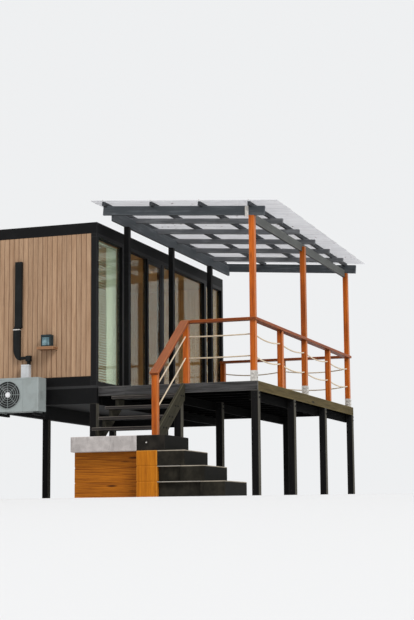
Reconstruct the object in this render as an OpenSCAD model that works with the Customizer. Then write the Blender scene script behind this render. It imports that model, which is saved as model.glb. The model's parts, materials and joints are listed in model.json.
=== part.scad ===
// Stilt house: a glazed cabin on black stilts with a timber deck, rope rails, a pergola and steps.
// Millimetres, +Z up, +X away from the cabin, +Y along the deck from the stair end.
// The origin is the centre of the underside of the deck's front outer stilt.

/* [Deck] */
// Height of the deck's walking surface above the lowest ground
deck_top = 1800; // [1400:10:2400]
// Length of the deck along the cabin
deck_l = 6080; // [5600:10:6600]
// Width of the deck from its outer edge to the cabin's glazed wall
deck_w = 2680; // [2560:10:2900]
// Thickness of the deck boards
board_t = 28; // [19:1:40]
// Depth of the joists
joist_h = 120; // [100:5:140]
// Thickness of a joist
joist_t = 45; // [35:5:60]
// Number of joists
joist_count = 14; // [8:1:18]
// Depth of the bearers under the joists
bearer_h = 140; // [90:5:190]
// Thickness of a bearer
bearer_t = 45; // [35:5:90]
// Thickness of the fascia boards round the deck
fascia_t = 30; // [20:1:40]

/* [Stilts] */
// Width of a square stilt
stilt_w = 115; // [90:5:150]
// Centre distance between the outer and the inner row of deck stilts
stilt_row = 1270; // [1100:10:1350]
// Number of stilts in a row under the deck
stilt_count = 4; // [3:1:6]

/* [Rail] */
// Width of a square rail or pergola post
post_w = 90; // [70:5:100]
// Distance from the deck's outer edge to the posts
post_inset = 40; // [30:1:80]
// Distance from the deck's front and back edges to the corner posts
end_inset = 30; // [20:1:60]
// Place of the first rail post, as a share of the side rail's length
near_share = 0.245; // [0.2:0.005:0.3]
// Place of the middle pergola post, as a share of the side rail's length
middle_share = 0.49; // [0.4:0.005:0.6]
// Place of the last rail post, as a share of the side rail's length
far_share = 0.755; // [0.7:0.005:0.8]
// Height of the handrail's top above the deck
rail_top = 1000; // [900:10:1100]
// Width of the flat handrail
rail_w = 140; // [125:5:180]
// Thickness of the flat handrail
rail_t = 45; // [30:1:60]
// Distance from the deck's outer edge to the back rail's middle post
back_post_x = 1420; // [1200:10:1500]
// Distance from the cabin wall to the back rail's end post
wall_clear = 20; // [10:5:60]
// Gap round a post that stands in a handrail's notch
notch_gap = 2; // [1:0.5:5]
// Length of the side handrail past the back corner post
rail_over = 40; // [20:5:80]
// Length of the stair's handrail past its lower newel
newel_over = 30; // [0:5:60]
// Diameter of the rail ropes
rope_d = 24; // [16:1:36]
// Height of the upper rope above the deck
rope_hi = 740; // [650:10:820]
// Height of the lower rope above the deck
rope_lo = 400; // [300:10:520]
// Sag of a rope between two posts
rope_sag = 45; // [10:5:100]
// Sag of a rope along the front edge
front_sag = 6; // [2:1:30]
// Sag of a rope beside the stair
stair_sag = 2; // [1:1:20]
// Height of the metal shoe at a pergola post's foot
shoe_h = 165; // [100:5:220]
// Thickness of the shoe's plates
shoe_t = 6; // [3:1:10]

/* [Pergola] */
// Height of the outer beam's underside above the deck
beam_z = 2530; // [2300:10:2700]
// Depth of the pergola's beams
beam_h = 140; // [100:5:190]
// Height of the middle post's tongue up the outer beam's face
tongue_h = 85; // [60:5:120]
// Thickness of the beams, rafters and purlins
stick_t = 45; // [35:5:60]
// Fall of the roof towards the outer edge, in degrees
fall = 4.3; // [2:0.1:8]
// Depth of the inner beam, which the rafters are notched over
inner_h = 180; // [140:5:220]
// Distance from the cabin wall to the inner beam
inner_gap = 190; // [150:5:260]
// Distance from the cabin wall to the rafters' upper ends
rafter_gap = 60; // [40:5:120]
// Depth of the middle rafters
rafter_h = 85; // [70:5:120]
// Depth of the front rafter
front_h = 150; // [120:5:190]
// Drop of the front rafter below the others
front_drop = 50; // [20:5:90]
// Gap between the front rafter and the outer beam's end
beam_gap = 5; // [2:1:15]
// Depth of the back rafter
back_h = 160; // [120:5:190]
// Drop of the back rafter below the others
back_drop = 55; // [20:5:90]
// Number of middle rafters
rafter_count = 5; // [3:1:8]
// Overhang of the rafters past the deck's outer edge
rafter_over = 130; // [60:10:250]
// Depth of the purlins
purlin_h = 65; // [45:5:90]
// Number of purlins
purlin_count = 4; // [3:1:5]
// Length of the purlins past the deck's front edge
purlin_over = 80; // [70:5:150]
// Length of the purlins past the deck's back edge
purlin_back = 20; // [0:5:60]
// Distance from the rafters' upper ends to the first purlin
purlin_in = 20; // [10:5:60]
// Distance from the last purlin to the rafters' lower ends
purlin_out = 205; // [150:5:260]
// Height of the roof sheets' corrugations
sheet_h = 18; // [12:1:30]
// Thickness of a roof sheet
sheet_t = 1.5; // [1:0.5:3]
// Number of corrugations across a roof sheet
wave_count = 10; // [8:1:12]
// Share of a corrugation that is its flat crest
crest_share = 0.3; // [0.2:0.05:0.4]
// Share of a corrugation that is one of its flanks
flank_share = 0.2; // [0.15:0.05:0.25]
// Overhang of the roof sheets past the outer edge
sheet_over = 370; // [280:10:480]
// Overhang of the roof sheets past the front edge
sheet_front = 110; // [100:5:200]
// Overhang of the roof sheets past the back edge
sheet_back = 60; // [30:5:120]
// Overhang of the roof sheets over the cabin's edge
sheet_in = 120; // [0:5:200]
// Step back of each sheet's lower end from the one before it
sheet_step = 15; // [0:1:20]
// Number of roof sheets side by side
sheet_count = 8; // [6:1:10]
// Clearance between two roof sheets at their lap
lap_gap = 0.5; // [0.3:0.1:2]
// Distance from the cabin's near end to the first wall post
wall_post_y = 680; // [600:10:780]
// Centre distance of the wall posts
wall_post_step = 2060; // [1800:10:2200]

/* [Stair] */
// Number of open treads of the timber stair
tread_count = 4; // [3:1:5]
// Rise of one step of the timber stair
rise = 180; // [160:5:200]
// Going of one step of the timber stair
going = 254; // [230:2:290]
// Thickness of a tread
tread_t = 45; // [30:1:60]
// Width of the stair between its stringers
stair_w = 1100; // [800:10:1200]
// Thickness of a stringer
stringer_t = 45; // [35:5:60]
// Depth of a stringer
stringer_h = 235; // [200:5:280]
// Distance from the treads' left ends to the cut stringer under them
stringer_in = 60; // [0:5:150]
// Drop of the cut stringer's lower edge below the other's
stringer_drop = 80; // [40:5:120]
// Height of the stringer's top edge over the line of the nosings
nose_up = 30; // [15:5:50]
// Lap of a tread under the one above it
tread_lap = 20; // [0:5:40]
// Distance from the last nosing to the front of the lower newel
newel_fwd = 294; // [200:2:320]
// Distance from the deck's outer edge to the stair rail's centre line
stair_x = 1201; // [1150:1:1260]

/* [Landing] */
// Distance from the deck's front edge to the landing's front
landing_y = 1750; // [1650:10:1900]
// Depth of the landing from front to back
landing_d = 1000; // [900:10:1200]
// Thickness of the landing's top blocks, and rise of a block step
block_h = 225; // [200:5:225]
// Length of the pale block
pale_l = 1050; // [950:10:1200]
// Length of the dark block beside it
dark_l = 443; // [400:1:520]
// Distance from the lower newel to the joint of the two blocks
pier_out = 65; // [20:5:100]
// Number of sleeper courses under the blocks
course_count = 3; // [2:1:4]
// Depth of the eased joint between two courses
joint_v = 8; // [3:1:15]
// Width of the sleeper pier under the dark block
pier_w = 322; // [250:1:380]
// Setback of the sleeper panel behind the pier's face
panel_back = 150; // [60:10:250]
// Going of a block step
block_going = 305; // [280:1:340]
// Lap of a block step over the one below it
block_lap = 70; // [40:5:120]
// Setback of the packing under the block steps behind their faces
block_back = 60; // [30:5:120]

/* [Cabin] */
// Length of the cabin
cabin_l = 6300; // [6100:10:6500]
// Width of the cabin
cabin_w = 2440; // [2200:10:3000]
// Distance from the deck's front edge to the cabin's end, towards the front
cabin_front = 80; // [40:5:150]
// Height of the cabin's roof above the deck
cabin_top = 2680; // [2560:10:2700]
// Thickness of the walls
wall_t = 100; // [80:5:140]
// Depth of the roof panel and its fascia
roof_h = 180; // [150:5:220]
// Thickness of the roof's fascia
roof_fascia_t = 20; // [10:1:30]
// Depth of the base beams
base_h = 250; // [200:5:300]
// Thickness of the base beams
base_t = 100; // [80:5:120]
// Thickness of the floor panel
floor_t = 40; // [25:1:60]
// Height of the floor above the deck
floor_up = 20; // [10:1:40]
// Height of the black skirting on the end walls
skirt_h = 150; // [80:5:200]
// Thickness of the skirting
skirt_t = 12; // [6:1:20]
// Gap at the corners between two boards of the skirting or the roof's fascia
board_gap = 1; // [0.5:0.5:4]

/* [Glazing] */
// Height of the sill rail
sill_h = 70; // [50:5:120]
// Depth of the head rail under the roof
head_h = 60; // [50:5:120]
// Width of the corner post at the near end
corner_w = 85; // [70:5:120]
// Width of the first window
bay_a = 990; // [900:10:1100]
// Width of the pier between two windows
jamb_w = 100; // [80:5:140]
// Width of the door bay
bay_b = 1740; // [1650:10:1850]
// Width of the third window
bay_c = 2180; // [2000:10:2300]
// Thickness of a glass pane
glass_t = 8; // [5:1:12]
// Width of the sliding leaf's frame members
leaf_rail = 60; // [45:5:90]
// Width of the sliding leaf
leaf_w = 680; // [600:10:760]
// Thickness of the sliding leaf
leaf_t = 34; // [26:1:40]
// Gap round the sliding leaf
leaf_gap = 5; // [5:0.5:8]
// Setback of the sliding leaf behind the wall's face
leaf_back = 8; // [5:1:15]
// Gap between the sliding leaf and the fixed panes
pane_gap = 12; // [8:1:20]
// Length of the sliding leaf's pull
pull_l = 300; // [200:10:500]
// Width of the pull's bar
pull_t = 12; // [8:1:16]
// Reach of the pull in front of the leaf
pull_out = 24; // [20:1:30]
// Height of the pull's middle above the floor
pull_z = 1050; // [900:10:1200]
// Inset of the track from the leaf's faces
track_in = 6; // [3:1:10]
// Running gap between the leaf and its track
track_gap = 0.3; // [0.2:0.1:0.8]
// Height of the door's track
track_h = 10; // [6:1:14]

/* [Services] */
// Width of the outdoor unit
unit_w = 800; // [780:10:900]
// Height of the outdoor unit
unit_h = 560; // [500:10:700]
// Depth of the outdoor unit
unit_d = 290; // [250:10:350]
// Distance from the cabin's near corner to the outdoor unit
unit_x = 830; // [700:10:950]
// Gap between the wall and the outdoor unit
unit_gap = 120; // [80:10:200]
// Height of the outdoor unit's top above the deck
unit_up = 150; // [100:10:250]
// Radius of the outdoor unit's front corners
unit_r = 25; // [10:1:40]
// Height of the outdoor unit's feet
unit_foot = 20; // [15:1:40]
// Width of the outdoor unit's service cover
service_w = 270; // [200:10:290]
// Width and depth of the seams in the outdoor unit's casing
seam = 3; // [2:0.5:5]
// Height of the outdoor unit's top cover
cover_h = 30; // [20:1:50]
// Diameter of the fan's opening
fan_d = 430; // [350:10:440]
// Depth of the fan's opening
fan_deep = 90; // [70:5:120]
// Diameter of the fan's hub
hub_d = 110; // [80:5:140]
// Number of the fan's blades
blade_count = 3; // [3:1:5]
// Pitch of the fan's blades in degrees
blade_pitch = 35; // [20:1:50]
// Thickness of a fan blade
blade_t = 4; // [3:0.5:6]
// Width of a bar of the fan's guard
guard_t = 5; // [4:0.5:8]
// Number of rings in the fan's guard
ring_count = 6; // [4:1:8]
// Number of spokes in the fan's guard
spoke_count = 8; // [6:1:12]
// Width of the brackets under the outdoor unit
bracket_w = 40; // [30:5:50]
// Distance from the outdoor unit's ends to its brackets
bracket_in = 100; // [60:5:200]
// Distance from the cabin base's top to the brackets' upper ends
bracket_down = 30; // [10:5:60]
// Width of the duct on the wall
duct_w = 118; // [100:2:140]
// Depth of the duct
duct_t = 60; // [40:5:80]
// Distance from the cabin's near corner to the duct
duct_x = 1460; // [1300:10:1550]
// Height of the duct's foot above the deck
duct_z = 474; // [460:2:520]
// Height of the duct's rounded foot
duct_foot = 225; // [180:5:260]
// Height of the duct's top above the deck
duct_top = 2100; // [1900:10:2300]
// Sideways step of the duct over its coupling
duct_step = 22; // [10:1:40]
// Height of the duct's coupling above the deck
coupling_z = 1005; // [900:5:1100]
// Height of the duct's coupling
coupling_h = 30; // [20:5:60]
// Thickness of the duct's coupling
coupling_t = 5; // [3:1:10]
// Height of the pipe that leaves the duct's foot
run_h = 45; // [35:1:60]
// Depth of that pipe
run_t = 45; // [35:1:55]
// Height of that pipe over the duct's foot
run_up = 12; // [5:1:30]
// Length of that pipe
run_l = 111; // [80:1:140]
// Width of the fitting at that pipe's end
tee_w = 83; // [60:1:100]
// Height of the fitting
tee_h = 90; // [80:1:110]
// Drop of the fitting under the duct's foot
tee_down = 22; // [10:1:30]
// Width of the pipe from the fitting into the pipe cover
spigot_w = 45; // [30:1:55]
// Gap between the duct and the pipe cover beside it
box_gap = 44; // [30:1:60]
// Width of the pale pipe cover over the outdoor unit
cover_w = 140; // [120:10:220]
// Height of the pale pipe cover
cover_l = 230; // [200:5:240]
// Depth of the pale pipe cover
cover_t = 90; // [60:5:110]
// Height of the pale pipe cover's foot above the deck
cover_z = 165; // [150:5:175]
// Width of the dark box on its shelf
box_w = 175; // [150:5:210]
// Height of the dark box
box_h = 200; // [150:10:260]
// Depth of the dark box
box_d = 110; // [80:5:140]
// Distance from the shelf's end to the dark box
box_in = 43; // [20:1:60]
// Width of the shelf under the dark box
shelf_w = 290; // [270:10:400]
// Depth of the shelf
shelf_d = 180; // [150:5:200]
// Thickness of the shelf
shelf_t = 45; // [30:1:60]
// Distance from the pipe cover's left side to the shelf
shelf_x = 320; // [240:10:340]
// Height of the shelf's top above the deck
shelf_z = 665; // [600:5:750]

/* [Hidden] */

stilt_r = stilt_w / 2;
edge_x = stilt_r;
front_y = -stilt_r;
back_y = front_y + deck_l;
wall_x = edge_x - deck_w;
board_z = deck_top - board_t;
joist_z = board_z - joist_h;
bearer_z = joist_z - bearer_h;
fascia_z = joist_z;

post_x0 = edge_x - post_inset - post_w;
post_x1 = edge_x - post_inset;
post_y0 = front_y + end_inset;
span = back_y - end_inset - post_w - post_y0;
main_posts = [post_y0, post_y0 + middle_share * span, post_y0 + span];
mid_posts = [post_y0 + near_share * span, post_y0 + far_share * span];
back_posts = [wall_x + wall_clear, edge_x - back_post_x];
rail_z = deck_top + rail_top - rail_t;
rail_x0 = (post_x0 + post_x1 - rail_w) / 2;
rail_x1 = rail_x0 + rail_w;
newel_x0 = edge_x - stair_x - post_w / 2;
newel_x1 = newel_x0 + post_w;
stair_fall = atan(rise / going);
rail_y0 = post_y0 + (post_w - rail_w) / 2;
foot_y = front_y - tread_count * going - newel_fwd;

beam_under = deck_top + beam_z;
beam_top = beam_under + beam_h;
inner_x1 = wall_x + inner_gap + post_w;
inner_x0 = wall_x + inner_gap;
inner_under = beam_top + (post_x0 - inner_x0) * tan(fall) - beam_h;
inner_top = inner_under + inner_h;
roof_x0 = wall_x + rafter_gap;
roof_x1 = edge_x + rafter_over;
rafter_y0 = post_y0;
rafter_y1 = main_posts[2];
rafter_step = (rafter_y1 - rafter_y0) / (rafter_count + 1);

landing_z = deck_top - (tread_count + 1) * rise;
landing_y0 = front_y - landing_y;
landing_y1 = landing_y0 + landing_d;
pier_x0 = newel_x0 - pier_out;
pale_x0 = pier_x0 - pale_l;
base_z = landing_z - block_h;

cabin_y0 = front_y - cabin_front;
cabin_y1 = cabin_y0 + cabin_l;
cabin_x0 = wall_x - cabin_w;
floor_z = deck_top + floor_up;
chassis_z1 = floor_z - floor_t;
chassis_z0 = chassis_z1 - base_h;
roof_z1 = deck_top + cabin_top;
roof_z0 = roof_z1 - roof_h;
head_z = roof_z0 - head_h;
sill_z = floor_z + sill_h;
bays = [[cabin_y0 + corner_w, bay_a], [cabin_y0 + corner_w + bay_a + jamb_w, bay_b],
    [cabin_y0 + corner_w + bay_a + bay_b + 2 * jamb_w, bay_c]];
bay_d0 = bays[2][0] + bay_c + jamb_w;
bay_d1 = cabin_y1 - corner_w;
leaf_x1 = wall_x - leaf_back;
leaf_x0 = leaf_x1 - leaf_t;
pane_x1 = leaf_x0 - pane_gap;
pane_x0 = pane_x1 - glass_t;
door_y1 = bays[1][0] + bay_b;
leaf_y1 = door_y1 - leaf_gap;
leaf_y0 = leaf_y1 - leaf_w;
stile_y0 = leaf_y0;
leaf_z0 = sill_z + track_h + track_gap;
leaf_z1 = head_z - leaf_gap;

unit_x1 = wall_x - unit_x;
unit_x0 = unit_x1 - unit_w;
unit_y1 = cabin_y0 - unit_gap;
unit_y0 = unit_y1 - unit_d;
unit_z1 = deck_top + unit_up;
unit_z0 = unit_z1 - unit_h;
fan_x = unit_x0 + (unit_w - service_w) / 2;
fan_z = (unit_z0 + unit_foot + unit_z1) / 2;
duct_x0 = wall_x - duct_x;
box_x0 = duct_x0 + duct_w + box_gap;
// Length that a cutting shape runs past what it cuts
past = 50;

black = [0.05, 0.05, 0.055];
grey = [0.2, 0.22, 0.25];
oil = [0.62, 0.3, 0.12];
brown = [0.5, 0.22, 0.12];
steel = [0.75, 0.74, 0.72];
rope = [0.8, 0.74, 0.62];
tan_wood = [0.78, 0.64, 0.52];

// A block between two corners
module block(a, b) {
    translate(a) cube(b - a);
}

// Puts children in the plane of the pergola's roof: x runs down the fall, z stands on the rafter line
module on_fall() {
    translate([post_x0, 0, beam_top]) rotate([0, fall, 0]) children();
}

// Length along the fall for a level distance from the outer beam's inner edge
function along(x) = (x - post_x0) / cos(fall);

module deck_stilts() {
    color(black) for (row = [0, 1]) for (i = [0:stilt_count - 1]) {
        y = i * (deck_l - stilt_w) / (stilt_count - 1);
        block([-stilt_r - row * stilt_row, y - stilt_r, 0],
            [stilt_r - row * stilt_row, y + stilt_r, row == 0 ? fascia_z : joist_z]);
    }
}

module cabin_stilts() {
    color(black) for (x = [wall_x - stilt_w, cabin_x0]) for (i = [0:2]) {
        y = cabin_y0 + i * (cabin_l - stilt_w) / 2;
        block([x, y, 0], [x + stilt_w, y + stilt_w, chassis_z0]);
    }
}

module deck_bearers() {
    color(black) {
        for (row = [0, 1]) {
            x = -stilt_r - row * stilt_row;
            block([x - bearer_t, front_y + fascia_t, bearer_z], [x, back_y - fascia_t, joist_z]);
        }
        block([wall_x, front_y + fascia_t, bearer_z], [wall_x + bearer_t, back_y - fascia_t, joist_z]);
    }
}

module deck_joists() {
    step = (deck_l - 2 * fascia_t - joist_t) / (joist_count - 1);
    color(black) for (i = [0:joist_count - 1]) {
        y = front_y + fascia_t + i * step;
        block([wall_x, y, joist_z], [edge_x - fascia_t, y + joist_t, board_z]);
    }
}

module deck_boards() {
    color([0.2, 0.17, 0.15])
        block([wall_x, front_y + fascia_t, board_z], [edge_x - fascia_t, back_y - fascia_t, deck_top]);
}

module front_fascia() {
    color(black) block([wall_x, front_y, fascia_z], [edge_x, front_y + fascia_t, deck_top]);
}

module side_fascia() {
    color([0.36, 0.32, 0.2])
        block([edge_x - fascia_t, front_y + fascia_t, fascia_z], [edge_x, back_y - fascia_t, deck_top]);
}

module back_fascia() {
    color(black) block([wall_x, back_y - fascia_t, fascia_z], [edge_x, back_y, deck_top]);
}

module pergola_posts() {
    tops = [beam_top, beam_under + tongue_h, beam_top + past];
    color(oil) for (i = [0:2]) difference() {
        y = main_posts[i];
        block([post_x0, y, deck_top + shoe_t], [post_x1, y + post_w, tops[i]]);
        if (i < 2)
            block([post_x0 - 1, y + (i == 0 ? stick_t + beam_gap : -1), beam_under],
                [post_x0 + stick_t, y + post_w + 1, beam_top + 1]);
        if (i == 0) on_fall()
            block([-past, y - 1, -front_drop], [along(post_x1) + past, y + stick_t, front_h]);
        if (i == 2) on_fall()
            block([-past, y - 1, -back_drop], [along(post_x1) + past, y + post_w + 1, back_h]);
    }
}

module post_shoes() {
    color(steel) for (y = main_posts) {
        block([post_x0, y - shoe_t, deck_top], [post_x1 + shoe_t, y + post_w, deck_top + shoe_t]);
        block([post_x0, y - shoe_t, deck_top], [post_x1 + shoe_t, y, deck_top + shoe_h]);
        block([post_x1, y - shoe_t, deck_top], [post_x1 + shoe_t, y + post_w, deck_top + shoe_h]);
    }
}

module wall_posts() {
    color(black) for (i = [0:2]) {
        y = cabin_y0 + wall_post_y + i * wall_post_step;
        block([inner_x0, y, deck_top], [inner_x1, y + post_w, inner_under]);
    }
}

module outer_beam() {
    color([0.42, 0.44, 0.42])
        block([post_x0, post_y0 + stick_t + beam_gap, beam_under],
            [post_x0 + stick_t, rafter_y1, beam_top]);
}

module inner_beam() {
    color(grey)
        block([inner_x0, post_y0 + stick_t, inner_under], [inner_x0 + stick_t, rafter_y1, inner_top]);
}

module beams_cut() {
    block([post_x0, post_y0 - past, beam_under], [post_x0 + stick_t, back_y, beam_top]);
    block([inner_x0, post_y0 - past, inner_under], [inner_x0 + stick_t, back_y, inner_top]);
}

module purlin_bars(grow) {
    x0 = along(roof_x0 + purlin_in);
    run = along(roof_x1 - purlin_out) - x0;
    on_fall() for (i = [0:purlin_count - 1]) {
        x = x0 + i * (run - stick_t) / (purlin_count - 1);
        block([x, front_y - purlin_over, rafter_h],
            [x + stick_t, back_y + purlin_back, rafter_h + purlin_h + grow]);
    }
}

module front_rafter() {
    color(grey) difference() {
        on_fall() block([along(roof_x0), rafter_y0, -front_drop],
            [along(roof_x1), rafter_y0 + stick_t, front_h - front_drop]);
        purlin_bars(past);
    }
}

module back_rafter() {
    color(grey) difference() {
        on_fall() block([along(roof_x0), rafter_y1, -back_drop],
            [along(roof_x1), rafter_y1 + stick_t, back_h - back_drop]);
        purlin_bars(past);
    }
}

module rafters() {
    color(grey) difference() {
        on_fall() for (i = [1:rafter_count]) {
            y = rafter_y0 + i * rafter_step;
            block([along(roof_x0), y, 0], [along(roof_x1), y + stick_t, rafter_h]);
        }
        beams_cut();
    }
}

module purlins() {
    color(grey) purlin_bars(0);
}

// A roof sheet's underside across its corrugations, its last crest raised by lift over the next sheet
function sheet_line(wave, lift) = let (crest = crest_share * wave, flank = flank_share * wave)
    [for (k = [0:wave_count])
        let (y = k * wave, up = sheet_h - sheet_t + (k == wave_count ? lift : 0))
        each concat([[y, up], [y + crest, up]],
            k == wave_count ? [] : [[y + crest + flank, 0], [y + wave - flank, 0]])];

module roof_sheets() {
    x0 = along(wall_x - sheet_in);
    y0 = front_y - sheet_front;
    wave = (back_y + sheet_back - y0) / (sheet_count * wave_count);
    color([0.8, 0.82, 0.84]) on_fall() for (i = [0:sheet_count - 1]) {
        line = sheet_line(wave, i < sheet_count - 1 ? sheet_t + lap_gap : 0);
        top = [for (k = [len(line) - 1:-1:0]) line[k] + [0, sheet_t]];
        translate([x0, y0 + i * wave_count * wave, rafter_h + purlin_h]) rotate([90, 0, 90])
            linear_extrude(along(edge_x + sheet_over - i * sheet_step) - x0) polygon(concat(line, top));
    }
}

module rail_posts() {
    color(oil) {
        for (y = mid_posts) block([post_x0, y, deck_top], [post_x1, y + post_w, rail_z]);
        for (x = back_posts)
            block([x, main_posts[2], deck_top], [x + post_w, main_posts[2] + post_w, rail_z]);
    }
}

module stair_newels() {
    color(oil) {
        block([newel_x0, post_y0, deck_top], [newel_x1, post_y0 + post_w, rail_z]);
        difference() {
            block([newel_x0, foot_y, landing_z], [newel_x1, foot_y + post_w, deck_top + rail_top]);
            stair_rail_bar(rail_top);
        }
    }
}

// The sloping handrail's bar, or with extra the space over its underside, for cutting what stands there
module stair_rail_bar(extra) {
    run = (rail_y0 - foot_y + newel_over) / cos(stair_fall);
    grow = extra > 0 ? past : 0;
    translate([newel_x0 + post_w / 2 - rail_w / 2, rail_y0, deck_top + rail_top])
        rotate([stair_fall, 0, 0])
        block([-grow, -run - grow, -rail_t], [rail_w + grow, past, extra]);
}

module front_handrail() {
    color(brown) block([newel_x0 + post_w / 2 - rail_w / 2, rail_y0, rail_z],
        [rail_x0, rail_y0 + rail_w, deck_top + rail_top]);
}

module side_handrail() {
    color(brown) difference() {
        block([rail_x0, rail_y0, rail_z],
            [rail_x1, main_posts[2] + post_w + rail_over, deck_top + rail_top]);
        for (y = main_posts) block([post_x0 - notch_gap, y - notch_gap, rail_z - 1],
            [post_x1 + notch_gap, y + post_w + notch_gap, deck_top + rail_top + 1]);
    }
}

module back_handrail() {
    y = main_posts[2] + post_w / 2 - rail_w / 2;
    color(brown) block([back_posts[0], y, rail_z], [rail_x0, y + rail_w, deck_top + rail_top]);
}

module stair_handrail() {
    color(brown) difference() {
        stair_rail_bar(0);
        block([newel_x0 - rail_w, rail_y0, deck_top],
            [newel_x1 + rail_w, rail_y0 + rail_w, rail_z + rail_top]);
    }
}

// A rope swept from a to b with its middle hung down by sag
module rope_span(a, b, sag) {
    steps = 8;
    sides = 8;
    turn = 360 / sides;
    along_y = abs(b.y - a.y) > abs(b.x - a.x);
    rings = [for (i = [0:steps]) let (t = i / steps, c = a + (b - a) * t - [0, 0, 4 * sag * t * (1 - t)])
        [for (k = [0:sides - 1]) let (w = turn * (k + 0.5), u = rope_d / 2 * cos(w),
            v = rope_d / 2 * sin(w)) c + (along_y ? [-u, 0, v] : [0, u, v])]];
    pts = [for (r = rings) each r];
    quads = [for (i = [0:steps - 1]) for (k = [0:sides - 1]) let (n = (k + 1) % sides)
        [i * sides + k, i * sides + n, (i + 1) * sides + n, (i + 1) * sides + k]];
    ends = [[for (k = [sides - 1:-1:0]) k], [for (k = [0:sides - 1]) steps * sides + k]];
    polyhedron(pts, concat(quads, ends), convexity = 4);
}

module rail_ropes() {
    px = (post_x0 + post_x1) / 2;
    py = post_y0 + post_w / 2;
    color(rope) for (h = [rope_lo, rope_hi]) {
        z = deck_top + h;
        rope_span([newel_x1, py, z], [post_x0, py, z], front_sag);
        stops = [post_y0, mid_posts[0], main_posts[1], mid_posts[1], main_posts[2]];
        for (i = [0:3])
            rope_span([px, stops[i] + post_w, z], [px, stops[i + 1], z], rope_sag);
        by = main_posts[2] + post_w / 2;
        rope_span([back_posts[1] + post_w, by, z], [post_x0, by, z], rope_sag);
        rope_span([back_posts[0] + post_w, by, z], [back_posts[1], by, z], rope_sag);
        nx = (newel_x0 + newel_x1) / 2;
        drop = (post_y0 - foot_y - post_w) * rise / going;
        rope_span([nx, foot_y + post_w, z - drop], [nx, post_y0, z], stair_sag);
    }
}

module stair_stringers() {
    slope = rise / going;
    low = deck_top + nose_up - stringer_h / cos(stair_fall);
    closed = [[-front_y, low], [-front_y, deck_top], [-front_y + nose_up / slope, deck_top],
        [-foot_y - post_w, deck_top + nose_up - slope * (front_y - foot_y - post_w)],
        [-foot_y - post_w, landing_z], [-front_y + (low - landing_z) / slope, landing_z]];
    under = low - stringer_drop;
    seats = [for (i = [1:tread_count]) let (z = deck_top - i * rise - tread_t)
        each [[-front_y + (i - 1) * going - (i == 1 ? 0 : tread_lap), z],
            [-front_y + i * going - (i == tread_count ? 0 : tread_lap), z]]];
    cut = concat([[-front_y - fascia_t, under + slope * fascia_t], [-front_y - fascia_t, fascia_z],
        [-front_y, fascia_z]], seats, [[-front_y + tread_count * going, landing_z],
        [-front_y + (under - landing_z) / slope, landing_z]]);
    color(black) {
        translate([newel_x0 + stringer_t, 0, 0]) rotate([90, 0, -90]) linear_extrude(stringer_t)
            polygon(closed);
        translate([newel_x0 - stair_w + stringer_in + stringer_t, 0, 0]) rotate([90, 0, -90])
            linear_extrude(stringer_t) polygon(cut);
    }
}

module stair_treads() {
    color(black) for (i = [1:tread_count]) {
        y = front_y - i * going;
        z = deck_top - i * rise;
        block([newel_x0 - stair_w, y, z - tread_t], [newel_x0, y + going + (i == 1 ? 0 : tread_lap), z]);
    }
}

module pale_block() {
    color([0.72, 0.68, 0.68]) block([pale_x0, landing_y0, base_z], [pier_x0, landing_y1, landing_z]);
}

module dark_block() {
    color([0.28, 0.27, 0.26])
        block([pier_x0, landing_y0, base_z], [pier_x0 + dark_l, landing_y1, landing_z]);
}

// A face's outline from z = 0 to base_z with an eased joint between two courses, at u0 and at u1
function coursed_outline(u0, u1) = let (h = base_z / course_count,
    left = [for (i = [1:course_count - 1])
        each [[u0, i * h - joint_v], [u0 + joint_v, i * h], [u0, i * h + joint_v]]],
    right = [for (i = [course_count - 1:-1:1])
        each [[u1, i * h + joint_v], [u1 - joint_v, i * h], [u1, i * h - joint_v]]])
    concat([[u0, 0]], left, [[u0, base_z], [u1, base_z]], right, [[u1, 0]]);

// Sleepers laid in courses up to base_z, between x0 and x1 and between y0 and y1
module sleepers(x0, x1, y0, y1) {
    intersection() {
        translate([0, y1, 0]) rotate([90, 0, 0]) linear_extrude(y1 - y0) polygon(coursed_outline(x0, x1));
        translate([x0, 0, 0]) rotate([90, 0, 90]) linear_extrude(x1 - x0) polygon(coursed_outline(y0, y1));
    }
}

module sleeper_pier() {
    color([0.74, 0.46, 0.16]) sleepers(pier_x0, pier_x0 + pier_w, landing_y0, landing_y1);
}

module sleeper_panel() {
    color([0.74, 0.46, 0.16]) sleepers(pale_x0, pier_x0, landing_y0 + panel_back, landing_y1);
}

// Three blocks, each lapped over the one below it, on packing that stands back from their faces
module step_blocks() {
    x0 = pier_x0 + pier_w;
    x1 = pier_x0 + dark_l;
    h = base_z / 3;
    color([0.28, 0.27, 0.26]) for (i = [0:2]) {
        x = x1 + i * block_going;
        block([i == 0 ? x0 : x - block_lap, landing_y0, (2 - i) * h],
            [x + block_going, landing_y1, (3 - i) * h]);
        block([x0, landing_y0 + block_back, 0], [x + block_going, landing_y1, (3 - i) * h]);
    }
}

module cabin_base() {
    color(black) difference() {
        block([cabin_x0, cabin_y0, chassis_z0], [wall_x, cabin_y1, chassis_z1]);
        block([cabin_x0 + base_t, cabin_y0 + base_t, chassis_z0 - 1],
            [wall_x - base_t, cabin_y1 - base_t, chassis_z1 + 1]);
    }
}

module cabin_floor() {
    color([0.55, 0.42, 0.28]) block([cabin_x0, cabin_y0, chassis_z1], [wall_x, cabin_y1, floor_z]);
}

module near_wall() {
    color(tan_wood) difference() {
        block([cabin_x0, cabin_y0, floor_z], [wall_x - wall_t, cabin_y0 + wall_t, roof_z0]);
        skirt_bars(0);
    }
}

module far_wall() {
    color(tan_wood) difference() {
        block([cabin_x0, cabin_y1 - wall_t, floor_z], [wall_x - wall_t, cabin_y1, roof_z0]);
        skirt_bars(0);
    }
}

module back_wall() {
    color(tan_wood) difference() {
        block([cabin_x0, cabin_y0 + wall_t, floor_z], [cabin_x0 + wall_t, cabin_y1 - wall_t, roof_z0]);
        skirt_bars(0);
    }
}

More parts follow.
